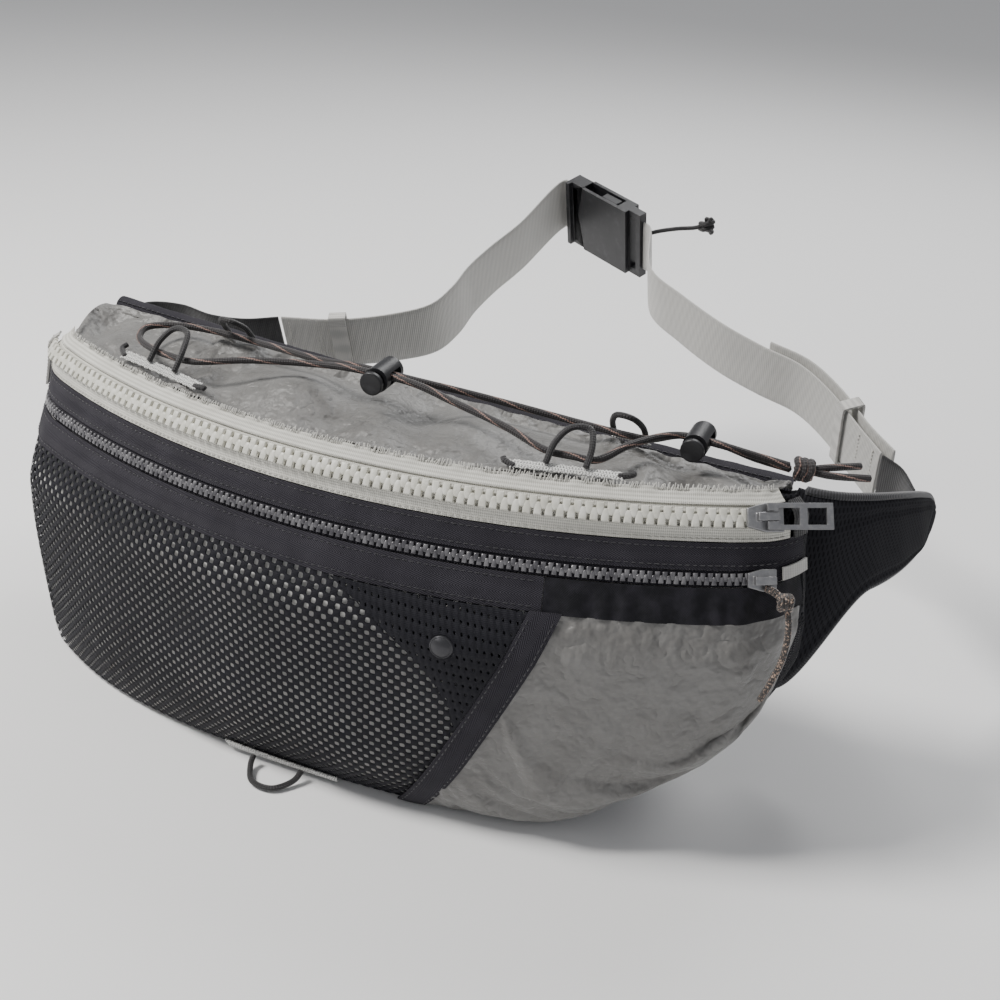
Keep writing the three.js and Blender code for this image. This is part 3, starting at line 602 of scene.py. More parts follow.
def on_track(height, out, x, y, z):
    """A point beside a parked slider: x along the zip, y up it, z off the front."""
    n = front_normal(0.0, height)
    p = on_front(0.0, height, out) + np.array([x, 0, 0]) + np.cross(n, [1.0, 0, 0]) * y + n * z
    c, s = math.cos(slider_angle), math.sin(slider_angle)
    p = p - [0, zip_centre, 0]
    return np.array([p[0] * c - p[1] * s, p[0] * s + p[1] * c + zip_centre, p[2]])


flecked = Finish("flecked_cord", (0.06, 0.045, 0.04), Roughness=0.5, Sheen_Weight=0.3)
fleck_s, fleck_a = flecked.along(), flecked.across()
fleck_strands = (fleck_a * 8.0 + fleck_s * (1 / 0.0012)).wave(2.0) * (fleck_a * 8.0 - fleck_s
    * (1 / 0.0012)).wave(2.0)
fleck_noise = flecked.mottle(1500, 1.0)
flecked.tint((0.02, 0.016, 0.015), (0.40, 0.28, 0.21), fleck_noise.ramp(0.54, 0.66) * 0.9)
flecked.relief(fleck_strands * 0.00014)
pull_knots = [on_track(front_zip, 2.3, *p) for p in
              ((6.6, -8, 6), (8.4, -12.3, 6), (9, -20, 4.6), (7.4, -30, 2.4), (3.4, -40, -0.8),
                  (0.5, -46, -3.4))]
front_pull, pull_path = cord_piece("front_pull_tail", smooth_path(pull_knots, 90), 2.6,
    flecked.material)
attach(front_pull, "front_pull")
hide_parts("front_puller_cord")
wraps = []
for t in np.linspace(0, 1, 90):
    a = 2 * math.pi * 2.5 * t
    wraps.append(on_track(front_zip, 2.3, 7 + (t - 0.5) * 4.6 + 0.5 * math.sin(2 * a),
        -8 + 2.3 * math.cos(a), 6 + 2.2 * math.sin(a)))
v, f, q = tube_of(to_row(wraps), 0.0013, 10)
for neck in ([(0.6, -3.3, 3.4), (3.4, -5.0, 5.0), (7, -8, 6)],
    [(0.6, -2.0, 3.6), (4.2, -4.0, 5.6), (7, -8, 7.0)]):
    more, faces, uv = tube_of(to_row(smooth_path([on_track(front_zip, 2.3, *p) for p in neck], 14)),
        0.0009, 8)
    f += [tuple(k + len(v) for k in face) for face in faces]
    v += more
    q += uv
pull_tie = mesh_piece("front_pull_knot", v, f, q, flecked.material, 80)
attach(pull_tie, "front_pull")
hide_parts("front_puller_knot")
pull_path[::4].tolist() + [pull_path[-1].tolist()]

# ---------------------------------------------------------------------------------------------
# Front shell and lining. A pale plain-weave lining panel runs right round the front; it shows
# through the holes of the mesh pocket. A second lining wall splits the two compartments.
lining = Finish("pale_lining", (0.60, 0.59, 0.56), Roughness=0.75, Sheen_Weight=0.15)
lin_u, lin_v = lining.along(), lining.across()
lining.relief(lin_u.wave(0.0006) * lin_v.wave(0.0006) * 0.00003 + lining.mottle(60) * 0.0012)
lining.tint((0.62, 0.615, 0.60), (0.80, 0.79, 0.77), lining.mottle(35, 4.0).ramp(0.3, 0.7))


def thick_piece(name, outer, inner, uv, material, crease=50):
    """A closed sheet between two grids of points in millimetres, indexed row then column."""
    rows, cols = outer.shape[:2]
    verts = np.concatenate([to_row(outer).reshape(-1, 3), to_row(inner).reshape(-1, 3)])
    uvs = np.concatenate([uv.reshape(-1, 2)] * 2)
    back = rows * cols
    grid = np.arange(back).reshape(rows, cols)
    a, b, c, d = grid[:-1, :-1].ravel(), grid[:-1, 1:].ravel(), grid[1:, 1:].ravel(), grid[1:,
        :-1].ravel()
    faces = list(zip(a.tolist(), b.tolist(), c.tolist(), d.tolist()))
    faces += list(zip((a + back).tolist(), (d + back).tolist(), (c + back).tolist(),
        (b + back).tolist()))
    ring = grid[0, :].tolist() + grid[1:, -1].tolist() + grid[-1, -2::-1].tolist() + grid[-2:0:-1,
        0].tolist()
    for k, i in enumerate(ring):
        j = ring[(k + 1) % len(ring)]
        faces.append((i, i + back, j + back, j))
    return mesh_piece(name, verts, faces, uvs, material, crease)


def front_grid(left, right, low, high, cols, rows):
    """u and z of a grid between two edges, which may be numbers or functions of height."""
    z = np.linspace(low, high, rows + 1)[:, None]
    a = left(z) if callable(left) else left
    b = right(z) if callable(right) else right
    t = np.linspace(0, 1, cols + 1)[None, :]
    return a + (b - a) * t + 0 * z, np.broadcast_to(z, (rows + 1, cols + 1))


def front_sheet(name, left, right, low, high, inside, outside, material, cols, rows, swell=None,
    crease=50):
    u, z = front_grid(left, right, low, high, cols, rows)
    more = swell(u, z) if swell else np.zeros_like(u)
    outer = on_front(u, z, outside + more)
    inner = on_front(u, z, inside + more)
    piece = thick_piece(name, outer, inner, np.stack([u, z], -1) * 0.001, material, crease)
    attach(piece, "pack")
    return piece


def cut_size(piece):
    """Width and height of a front sheet laid flat, in metres, from its UV."""
    uv = np.empty(len(piece.data.loops) * 2, np.float32)
    piece.data.uv_layers[0].data.foreach_get("uv", uv)
    uv = uv.reshape(-1, 2)
    return tuple(float(v) * 1.04 for v in uv.max(0) - uv.min(0))


def laid_flat(grid):
    """UV in metres of a grid in mm: lengths run along its rows and up its columns."""
    u = np.cumsum(np.linalg.norm(np.diff(grid, axis=1, prepend=grid[:, :1]), axis=-1), axis=1)
    v = np.cumsum(np.linalg.norm(np.diff(grid, axis=0, prepend=grid[:1]), axis=-1), axis=0)
    middle = u.shape[1] // 2
    return np.stack([u - u[:, middle:middle + 1], v], -1) * 0.001


front_lining = front_sheet("front_lining", -side_end + 2, side_end - 2, 3, 120.6, -1.5, -0.5,
    lining.material, 150, 40)
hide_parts("front_panel")
cut_size(front_lining)
inner_wall = front_sheet("inner_wall", -arc_end, arc_end, 8, 135, -14, -12.8, lining.material, 90, 24)
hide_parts("divider_panel")
cut_size(inner_wall)

# ---------------------------------------------------------------------------------------------
# Mesh pocket. Black knitted mesh with diamond holes on a 5 mm repeat covers the left front;
# a second, finer layer overlaps it in a dark wedge by the snap. Both are sewn in at the edges.
black_yarn = (0.010, 0.010, 0.014)


def knitted(name, holes_from, roughness=0.7):
    """Black yarn with holes; holes_from makes a field that is above zero inside a hole."""
    f = Finish(name, black_yarn, Roughness=roughness, Specular_IOR_Level=0.2)
    u, v = f.along(), f.across()
    hole = holes_from(f, u, v)
    f.feed("Alpha", 1 - hole.ramp(-0.10, 0.10))
    yarn = (u * 1.0 + v * 0.7).wave(0.0009) * (u * 1.0 - v * 0.7).wave(0.0009)
    f.relief(hole * -0.00015 + yarn * 0.00008)
    f.tint(black_yarn, (0.020, 0.020, 0.026), yarn.ramp(-0.2, 1.0) * f.mottle(30).ramp(0.35, 0.7))
    return f.material


def diamond_holes(f, u, v):
    wobble = f.mottle(90, 1.0) * 0.22
    return (u * 1.0 + v * 0.97).wave(0.0049) + (u * 1.0 - v * 0.97).wave(0.0049) - 0.30 - wobble


def pin_holes(f, u, v):
    slant = v + u * 0.10
    return (u + v * 0.2).wave(0.0026) + slant.wave(0.0043) - 1.42 - f.mottle(60, 1.0) * 0.3


def close_holes(f, u, v):
    return (u * 1.0 + v * 0.9).wave(0.0034) + (u * 1.0 - v * 0.9).wave(0.0034) - 1.35


pocket_mesh = knitted("pocket_mesh", diamond_holes)
wedge_mesh = knitted("wedge_mesh", pin_holes)
close_mesh = knitted("close_mesh", close_holes)


def diagonal_line(z):
    return 39 + 52.5 * np.clip(z / 112, 0, 1) ** 0.85


def overlap_line(z):
    return 60 - 51 * np.clip((z - 50) / 58.5, 0, 2) ** 2.2


def seam_right(z):
    return 171 + 13.4 * z / 110


tape_half = 6


def mesh_sag(u, z):
    """The slack mesh stands off the lining in slow waves, and is held down at its edges."""
    edge = ease((z - 3) / 18) * ease((109 - z) / 16) * ease((diagonal_line(z) - u)
        / 20) * ease((u + side_end) / 20)
    wave = 0.9 * np.sin(u / 19 + z / 31) + 0.7 * np.sin(u / 11.5 - z / 17 + 1.1) + 0.5 * np.sin(z / 12
        + u / 40)
    return edge * (1.0 + wave * 0.5)


pocket = front_sheet("pocket_mesh_panel", -side_end + 2, lambda z: diagonal_line(z) - 0.3, 3, 109.2,
    0.2, 0.7,
                     pocket_mesh, 170, 60, mesh_sag)
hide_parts("mesh_pocket")
cut_size(pocket)


def wedge_sag(u, z):
    return mesh_sag(u, z) + 0.4 * ease((u - overlap_line(z)) / 6)


wedge = front_sheet("wedge_mesh_panel", overlap_line, lambda z: diagonal_line(z) - tape_half - 0.2, 52,
    108.9, 1.1, 1.5,
                    wedge_mesh, 60, 40, wedge_sag)
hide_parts("mesh_overlap")
cut_size(wedge)
side_panel = front_sheet("side_mesh_panel", lambda z: seam_right(z) + 0.3, side_end - 2, 3, 109, 0, 0.8,
                         close_mesh, 16, 50)
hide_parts("side_mesh")

# ---------------------------------------------------------------------------------------------
# Grey nylon. Thin coated nylon, slightly shiny, with a fine weave and soft crinkles. The front
# pocket is a slack panel gathered under the black band; the top is one gathered sheet.
nylon = Finish("grey_nylon", (0.25, 0.245, 0.235), Roughness=0.42, Sheen_Weight=0.25,
    Sheen_Roughness=0.35,
               Coat_Weight=0.12, Coat_Roughness=0.35, Specular_IOR_Level=0.55)
nyl_u, nyl_v = nylon.along(), nylon.across()
fine_weave = nyl_u.wave(0.0005) * nyl_v.wave(0.0005)
ripstop = nyl_u.wave(0.005).ramp(0.93, 1.0).maths("MAXIMUM", nyl_v.wave(0.005).ramp(0.93, 1.0))
crinkle = nylon.mottle(55, 3.0, 0.6)
small_crinkle = nylon.mottle(190, 4.0, 0.6)
folds = (crinkle - 0.5).maths("ABSOLUTE")
nylon.relief(fine_weave * 0.00002 + ripstop * 0.00002 + folds * 0.0068 + small_crinkle * 0.0006)
nylon.tint((0.135, 0.131, 0.125), (0.168, 0.165, 0.159),
    (crinkle * 0.6 + small_crinkle * 0.4).ramp(0.35, 0.65))
nylon.feed("Roughness", 0.34 + small_crinkle * 0.16)


def settled(grid, held, slack, frames, cap, lift=0.0, weight=0.35):
    """Cloth simulation of one sheet: grid of points in mm, held where true, cut with slack
    to spare. Each point may move at most cap mm."""
    rows, cols = grid.shape[:2]
    cells = np.arange(rows * cols).reshape(rows, cols)
    faces = np.stack([cells[:-1, :-1], cells[:-1, 1:], cells[1:, 1:], cells[1:, :-1]], -1).reshape(-1,
        4)
    mesh = bpy.data.meshes.new("settling")
    mesh.from_pydata((grid.reshape(-1, 3) * 0.01).tolist(), [], faces.tolist())
    cloth_object = bpy.data.objects.new("settling", mesh)
    bpy.context.collection.objects.link(cloth_object)
    group = cloth_object.vertex_groups.new(name="held")
    group.add(np.flatnonzero(held.ravel()).tolist(), 1.0, "REPLACE")
    cloth = cloth_object.modifiers.new("cloth", "CLOTH")
    cloth.settings.quality = 6
    cloth.settings.mass = 0.12
    cloth.settings.tension_stiffness = 22
    cloth.settings.compression_stiffness = 22
    cloth.settings.shear_stiffness = 6
    cloth.settings.bending_stiffness = 0.06
    cloth.settings.vertex_group_mass = "held"
    cloth.settings.shrink_min = -slack
    cloth.settings.effector_weights.gravity = weight
    if lift:
        cloth.settings.use_pressure = True
        cloth.settings.uniform_pressure_force = lift
    cloth.collision_settings.use_collision = False
    cloth.point_cache.frame_start = 1
    cloth.point_cache.frame_end = frames
    for step in range(1, frames + 1):
        bpy.context.scene.frame_set(step)
    done = cloth_object.evaluated_get(bpy.context.evaluated_depsgraph_get())
    found = np.empty(rows * cols * 3, np.float32)
    done.data.vertices.foreach_get("co", found)
    bpy.data.objects.remove(cloth_object)
    bpy.data.meshes.remove(mesh)
    bpy.context.scene.frame_set(1)
    move = found.reshape(grid.shape) * 100 - grid
    size = np.linalg.norm(move, axis=-1, keepdims=True)
    return grid + move * np.minimum(1, cap / np.maximum(size, 1e-6))


def grid_normals(grid):
    return unit(np.cross(np.gradient(grid, axis=1), np.gradient(grid, axis=0)))


def pocket_gather(u, z):
    """Small tucks under the band and over the base seam, dying out into the panel."""
    tuck = np.sin(u / 1.9 + 1.4 * np.sin(u / 7.3))
    high = np.exp(-(109 - z) / 9)
    low = np.exp(-(z - 3) / 8)
    full = ease((z - 3) / 30) * ease((109 - z) / 26) * ease((u - diagonal_line(z))
        / 22) * ease((seam_right(z) - u) / 20)
    broad = 2.0 * np.sin(u / 14 - z / 23) + 1.5 * np.sin(u / 9 + z / 15 + 2)
    return 0.55 * tuck * high + 0.45 * tuck * low + full * (3.2 + broad)


u, z = front_grid(lambda h: diagonal_line(h) + 0.3, seam_right, 3, 109.2, 110, 92)
start_shape = on_front(u, z, 0.7 + pocket_gather(u, z))
edge_held = np.zeros(u.shape, bool)
edge_held[[0, -1], :] = True
edge_held[:, [0, -1]] = True
slack_shape = settled(start_shape, edge_held, 0.035, 26, 5.0, lift=0.2)
clear = np.einsum("ijk,ijk->ij", slack_shape - on_front(u, z, 0.7), front_normal(u, z))
slack_shape = slack_shape + front_normal(u, z) * np.clip(0.1 - clear, 0, 20)[..., None]
grey_pocket = thick_piece("grey_pocket_panel", slack_shape + grid_normals(slack_shape) * 0.3,
                          slack_shape - grid_normals(slack_shape) * 0.3, np.stack([u, z], -1) * 0.001,
                          nylon.material, 70)
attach(grey_pocket, "pack")
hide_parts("grey_pocket")
cut_size(grey_pocket)

top_cols, top_rows = 190, 64
tu = np.linspace(-side_end, side_end, top_cols + 1)[None, :]
tb = np.linspace(0.012, 0.985, top_rows + 1)[:, None]
top_shape = top_point(tu, tb) + [0, 0, 0.9]
seam = np.exp(-tb / 0.22)
rear_seam = np.exp(-(1 - tb) / 0.16)
tucks = np.sin(tu / 2.6 + 1.6 * np.sin(tu / 11.0)) * (0.7 + 0.3 * np.sin(tu / 17.0))
inside = ease(tb / 0.1) * ease((1 - tb) / 0.1) * ease((side_end - np.abs(tu)) / 14)
waves = (np.sin(tu / 8.5 + 3.2 * tb + 1.3 * np.sin(tu / 23)) * 1.0
         + 0.8 * np.sin(tu / 14.0 - 5.0 * tb + 0.7) + 0.6 * np.sin(tu / 30 + 7 * tb))
top_shape[..., 2] += (0.85 * tucks * seam + 0.5 * tucks * rear_seam) * ease(tb
    / 0.02) + inside * waves * 1.9
edge_held = np.zeros(top_shape.shape[:2], bool)
edge_held[[0, -1], :] = True
edge_held[:, [0, -1]] = True
held_points = [(-115, -46), (-82, -56), (72, -59), (88, -55.6), (104, -51.4), (-92, -8.2), (-79, -8.8),
    (92, -4.5), (104, -4.5)]
for hx, hy in held_points:
    edge_held |= np.hypot(top_shape[..., 0] - hx, top_shape[..., 1] - hy) < 3.2
settled_top = settled(top_shape, edge_held, 0.035, 30, 5.0, lift=0.3, weight=0.5)
settled_top[..., 2] = np.clip(settled_top[..., 2], None, top_point(tu, tb)[..., 2] + 4.2)
top_uv = laid_flat(top_point(tu, tb))
top_sheet = thick_piece("top_nylon", settled_top, settled_top - grid_normals(settled_top) * 0.8, top_uv,
    nylon.material, 70)
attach(top_sheet, "pack")
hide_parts("top_panel")
cut_size(top_sheet)

# ---------------------------------------------------------------------------------------------
# Herringbone tapes. Charcoal woven tape covers the seams above and below the front zip, down
# the diagonal and round the rear edge; each is sewn down by a line of stitches near each edge.
tape = Finish("herringbone_tape", (0.035, 0.033, 0.042), Roughness=0.8, Specular_IOR_Level=0.2,
    Sheen_Weight=0.04, Sheen_Roughness=0.4)
tap_u, tap_v = tape.along(), tape.across()
zig = ((tap_v / 0.0052).maths("FRACT") - 0.5).maths("ABSOLUTE") * 0.0052
twill = (tap_u + zig * 1.6).wave(0.00115)
twill_line = twill.ramp(-0.7, 0.6)
tape.tint((0.010, 0.009, 0.013), (0.052, 0.049, 0.060),
    twill_line * (tape.mottle(70).ramp(0.2, 0.8) * 0.5 + 0.5))
tape.relief(twill_line * 0.00014 + tape.mottle(120) * 0.0003)

upper_tape = front_sheet("upper_tape_weave", -side_end + 2, side_end - 2, 127.2, 136.8, -0.2, 1.0,
    tape.material, 170, 8,
                         lambda u, z: 0.25 * np.sin((z - 127.2) / 9.6 * math.pi) + 0.08
                         * np.sin(u / 3.1))
lower_tape = front_sheet("lower_tape_weave", -side_end + 2, lambda z: diagonal_line(110) - 2 + 0 * z,
    109.3, 121.3, 0.1, 1.1,
                         tape.material, 130, 8,
                         lambda u, z: 0.25 * np.sin((z - 109.3) / 12 * math.pi) + 0.08
                         * np.sin(u / 2.9))


def diagonal_grid(half, low, high, cols, rows, high_out, low_out):
    z = np.linspace(low, high, rows + 1)[:, None]
    w = np.linspace(-half, half, cols + 1)[None, :]
    u = diagonal_line(z) + w
    crown = 0.3 * np.cos(w / half * math.pi / 2)
    uv = np.stack(np.broadcast_arrays(z * 1.15, w + half), -1) * 0.001
    return on_front(u, z, high_out + crown), on_front(u, z, low_out + crown), uv


outer, inner, uv = diagonal_grid(tape_half, 2.6, 109.6, 8, 70, 2.1, 1.3)
diagonal_tape = thick_piece("diagonal_tape_weave", outer, inner, uv, tape.material)
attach(diagonal_tape, "pack")

band_ripple = lambda u, z: (0.5 + 0.45 * np.sin(u / 1.7 + 1.2 * np.sin(u / 6.1))) * ease((121.3 - z)
    / 9) * 0.9
band = Finish("black_band", (0.008, 0.007, 0.010), Roughness=0.6, Specular_IOR_Level=0.2)
band.relief(band.along().wave(0.0009) * band.across().wave(0.0009) * 0.00006 + band.mottle(150)
    * 0.0006)
band.tint((0.005, 0.005, 0.007), (0.016, 0.015, 0.020), band.mottle(140, 3.0).ramp(0.35, 0.7))
gathered = front_sheet("gathered_black_band", lambda z: diagonal_line(110) - 1.7 + 0 * z, side_end - 4,
    109.0, 121.3, 0.2, 1.1,
                       band.material, 150, 10, band_ripple)

for piece, node, slot in ((upper_tape, "upper_tape", "dark_tape"),
    (lower_tape, "lower_tape", "dark_tape"),
                          (diagonal_tape, "diagonal_tape", "dark_tape"),
                          (gathered, "gathered_band", "webbing_black")):
    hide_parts(node)


def stitch_line(name, spots, normals, pitch, length, width, material, body="pack"):
    """A row of lock stitches along a path in mm: short threads that dip in at both ends."""
    spots = np.asarray(spots, float)
    run = np.concatenate([[0], np.cumsum(np.linalg.norm(np.diff(spots, axis=0), axis=1))])
    verts, faces, uvs = [], [], []
    count = int(run[-1] / pitch)
    for i in range(count):
        middle = (i + 0.5) * pitch
        at = [np.array([np.interp(middle + d * length, run,
            spots[:, c]) for c in range(3)]) for d in (-0.5, -0.25, 0.25, 0.5)]
        n = unit(np.array([np.interp(middle, run, normals[:, c]) for c in range(3)]))
        path = [at[0] - n * width * 0.7, at[1] + n * width * 0.15, at[2] + n * width * 0.15,
            at[3] - n * width * 0.7]
        v, f, q = tube_of(to_row(path), width * 0.0005, 5)
        faces += [tuple(k + len(verts) for k in face) for face in f]
        verts += v
        uvs += q
    piece = mesh_piece(name, verts, faces, uvs, material, 80)
    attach(piece, body)
    return piece


def front_stitches(name, from_u, to_u, height, out, material, pitch=2.9, length=2.0, width=0.5):
    u = np.linspace(from_u, to_u, 120)
    return stitch_line(name, on_front(u, height, out), front_normal(u, height), pitch, length, width,
        material)


dark_thread = Finish("dark_thread", (0.018, 0.017, 0.022), Roughness=0.5, Sheen_Weight=0.2)
dark_thread.relief(dark_thread.along().wave(0.0004) * 0.00004)
pale_thread = Finish("pale_thread", (0.55, 0.54, 0.50), Roughness=0.55, Sheen_Weight=0.2)
pale_thread.relief(pale_thread.along().wave(0.0004) * 0.00004)
front_stitches("stitches_upper_tape_low", -side_end + 4, side_end - 4, 128.8, 1.15,
    dark_thread.material)
front_stitches("stitches_upper_tape_high", -side_end + 4, side_end - 4, 135.2, 1.15,
    dark_thread.material)
front_stitches("stitches_lower_tape_low", -side_end + 4, diagonal_line(110) - 3, 111.0, 1.25,
    dark_thread.material)
front_stitches("stitches_lower_tape_high", -side_end + 4, diagonal_line(110) - 3, 119.6, 1.25,
    dark_thread.material)
for name, shift in (("left", -4.6), ("right", 4.6)):
    zs = np.linspace(4, 108.5, 90)
    stitch_line("stitches_diagonal_" + name, on_front(diagonal_line(zs) + shift, zs, 2.25),
                front_normal(diagonal_line(zs) + shift, zs), 2.9, 2.0, 0.5, dark_thread.material)

back_half = 165


def back_plan(x):
    return 0.00022 * x * x


def back_high(x):
    return 148.5 - 2.2 - 0.055 * x


bx = np.linspace(-back_half, back_half, 120)[:, None]
turn = np.linspace(0, 1, 11)[None, :]
fold_y = back_plan(bx) + blend_of(0.2, 9.8, turn)
fold_z = back_high(bx) + 0.5 + 3.0 * np.sin(math.pi * turn) ** 0.6 + 0.12 * np.sin(bx / 2.4)
outer = points(bx + 0 * turn, fold_y, fold_z)
inner = points(bx + 0 * turn, fold_y, fold_z - 0.9 + 0.0 * turn)
uv = np.stack(np.broadcast_arrays(bx, turn * 13), -1) * 0.001
rear_binding = thick_piece("rear_binding_tape", inner, outer, uv, tape.material)
weld(rear_binding)
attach(rear_binding, "pack")
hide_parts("rear_binding")
stitch_line("stitches_rear_binding", points(bx[:, 0], back_plan(bx[:, 0]) + 1.4,
    back_high(bx[:, 0]) + 2.9),
            np.tile([0, -0.4, 1.0], (120, 1)), 2.9, 2.0, 0.5, dark_thread.material)

# ---------------------------------------------------------------------------------------------
# Main zip. A chunky off-white zip of moulded teeth at a 4.2 mm pitch on off-white woven tape.
# The tape is sewn under the top seam, where it frays into short white ends.
zip_tape = Finish("zip_tape", (0.62, 0.61, 0.55), Roughness=0.75, Sheen_Weight=0.25)
zt_u, zt_v = zip_tape.along(), zip_tape.across()
zt_rib = zt_u.wave(0.0008) * 0.5 + zt_v.wave(0.0011) * 0.5
zip_tape.tint((0.42, 0.41, 0.37), (0.70, 0.69, 0.63),
    zt_rib.ramp(-0.7, 0.5) * (zip_tape.mottle(60).ramp(0.2, 0.7) * 0.5 + 0.5))
zip_tape.relief(zt_rib * 0.00007)
low_tape = front_sheet("main_zip_tape_low", -side_end + 3, side_end - 9, 137.2, 142.4, -0.1, 0.7,
    zip_tape.material, 170, 6,
                       lambda u, z: 0.3 * ease((z - 140.4) / 1.6) + 0.06 * np.sin(u / 2.2))
high_tape = front_sheet("main_zip_tape_high", -side_end + 3, side_end - 9, 149.5, 153.2, -0.1, 0.7,
    zip_tape.material, 190, 6,
                        lambda u, z: 0.3 * ease((151 - z) / 1.6)
                        + (0.35 * np.sin(u / 1.5) + 0.3 * np.sin(u / 3.7)) * ease((z - 151) / 2))
for piece, node in ((low_tape, "main_zip_lower_tape"), (high_tape, "main_zip_upper_tape")):
    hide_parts(node)


def tooth_row(name, height, pitch, from_u, to_u, shapes, material, body="pack"):
    """One mesh of many teeth. shapes is a list of (offset, sign, rings); a ring is a loop of
    (along, up, out) points, and neighbouring rings are joined into a closed tooth."""
    verts, faces, uvs = [], [], []
    for offset, sign, rings in shapes:
        centres = np.arange(from_u + offset, to_u, pitch)
        n = front_normal(centres, height)
        place = on_front(centres, height, 0.0)
        along = unit(front_point(centres + 0.5, height) - front_point(centres - 0.5, height))
        up = np.cross(n, along)
        for k in range(len(centres)):
            first = len(verts)
            for ring in rings:
                for a, b, c in ring:
                    verts.append(to_row(place[k] + along[k] * a + up[k] * b * sign + n[k] * c))
                    uvs.append((centres[k] * 0.001 + a * 0.001, b * 0.001))
            sides = len(rings[0])
            for r in range(len(rings) - 1):
                for i in range(sides):
                    j = (i + 1) % sides
                    p, q = first + r * sides + i, first + r * sides + j
                    face = (p, q, q + sides, p + sides)
                    faces.append(face if sign > 0 else face[::-1])
            cap = tuple(first + (len(rings) - 1) * sides + i for i in range(sides))
            faces.append(cap if sign > 0 else cap[::-1])
            foot = tuple(first + i for i in reversed(range(sides)))
            faces.append(foot if sign > 0 else foot[::-1])
    piece = mesh_piece(name, verts, faces, uvs, material, 38)
    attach(piece, body)
    return piece


def tooth_rings(half, root, tip, levels):
    """Loops of a tooth that is broad at its root and narrows to a rounded head at its tip."""
    rings = []
    for shrink, out in levels:
        h = half - shrink
        rings.append([(-h, root + shrink, out), (h, root + shrink, out),
            (h, root * 0.35 + tip * 0.65, out),
                      (h * 0.55, tip - shrink, out), (-h * 0.55, tip - shrink, out),
                      (-h, root * 0.35 + tip * 0.65, out)])
    return rings


acetal = Finish("off_white_acetal", (0.66, 0.65, 0.58), Roughness=0.34, Specular_IOR_Level=0.5)
acetal.tint((0.56, 0.55, 0.48), (0.72, 0.71, 0.65), acetal.mottle(260).ramp(0.3, 0.7))
acetal.relief(acetal.mottle(900) * 0.00008)
big_tooth = tooth_rings(1.5, -3.6, 1.3, [(0.0, 0.3), (0.0, 1.35), (0.28, 1.8), (0.75, 1.95)])
main_teeth = tooth_row("main_zip_teeth", main_zip, 4.2, -side_end + 4, 167,
    [(0.0, 1, big_tooth), (2.1, -1, big_tooth)], acetal.material)
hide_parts("main_zip_chain")
# cords of the tape under the teeth, and the narrow dark gap between the two rows
bead_u = np.linspace(-side_end + 4, 168, 240)
for name, h in (("low", main_zip - 3.3), ("high", main_zip + 3.3)):
    v, f, q = tube_of(to_row(on_front(bead_u, h, 0.55)), 0.0006, 8)
    bead = mesh_piece("main_zip_bead_" + name, v, f, q, zip_tape.material, 80)
    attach(bead, "pack")
front_sheet("main_zip_gap", -side_end + 4, 168, main_zip - 3.2, main_zip + 3.2, -0.25, 0.25,
    zip_tape.material, 120, 2)
front_stitches("stitches_main_zip", -side_end + 5, side_end - 10, 138.2, 0.95, pale_thread.material,
    2.6, 1.9, 0.42)

# the frayed white ends along the top seam
rng = np.random.default_rng(7)
fray_v, fray_f, fray_q = [], [], []
for u0 in np.arange(-side_end + 6, side_end - 12, 0.85):
    u0 = u0 + rng.uniform(-0.3, 0.3)
    lean = rng.uniform(-0.9, 0.9)
    rise = rng.uniform(0.5, 1.5)
    base = on_front(u0, 152.6, 0.75)
    mid = on_front(u0 + lean * 0.5, 153.2, 0.9)
    tip = on_front(u0 + lean, 153.4, 0.6) + [0, 0.5, rise]
    v, f, q = tube_of(to_row([base, mid, tip]), 0.00022, 4)
    fray_f += [tuple(k + len(fray_v) for k in face) for face in f]
    fray_v += v
    fray_q += q
fray = mesh_piece("top_seam_fray", fray_v, fray_f, fray_q, pale_thread.material, 80)
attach(fray, "pack")

# ---------------------------------------------------------------------------------------------
# Front zip. A finer charcoal moulded zip at a 2.8 mm pitch; its teeth catch the light, and its
# tape is almost hidden between the two herringbone tapes.
dark_teeth = Finish("charcoal_teeth", (0.07, 0.068, 0.075), Roughness=0.3, Specular_IOR_Level=0.6,
    Coat_Weight=0.2)
dark_teeth.tint((0.05, 0.048, 0.055), (0.15, 0.147, 0.155), dark_teeth.mottle(240).ramp(0.35, 0.7))
dark_teeth.relief(dark_teeth.mottle(900) * 0.00006)
small_tooth = tooth_rings(1.0, -2.3, 0.9, [(0.0, 0.2), (0.0, 0.9), (0.25, 1.25), (0.5, 1.35)])
front_teeth = tooth_row("front_zip_teeth", front_zip, 2.8, -side_end + 4, 167,
    [(0.0, 1, small_tooth), (1.4, -1, small_tooth)],
                        dark_teeth.material)
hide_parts("front_zip_chain")
front_sheet("front_zip_tape", -side_end + 3, side_end - 4, 121.6, 127.0, -0.25, 0.2, tape.material, 150,
    4)

# ---------------------------------------------------------------------------------------------
# Zip sliders and the main pull. Die-cast sliders with a dark plated finish ride on the teeth;
# the main pull is a flat H-shaped tag hung on its slider's bridge.
gunmetal = Finish("gunmetal", (0.30, 0.30, 0.31), Metallic=0.85, Roughness=0.34)
gun_wear = gunmetal.mottle(420, 4.0, 0.65)
gunmetal.tint((0.26, 0.26, 0.27), (0.34, 0.34, 0.345), gun_wear.ramp(0.4, 0.75))
gunmetal.feed("Roughness", 0.28 + gun_wear * 0.22)
gunmetal.relief(gun_wear * 0.0001)


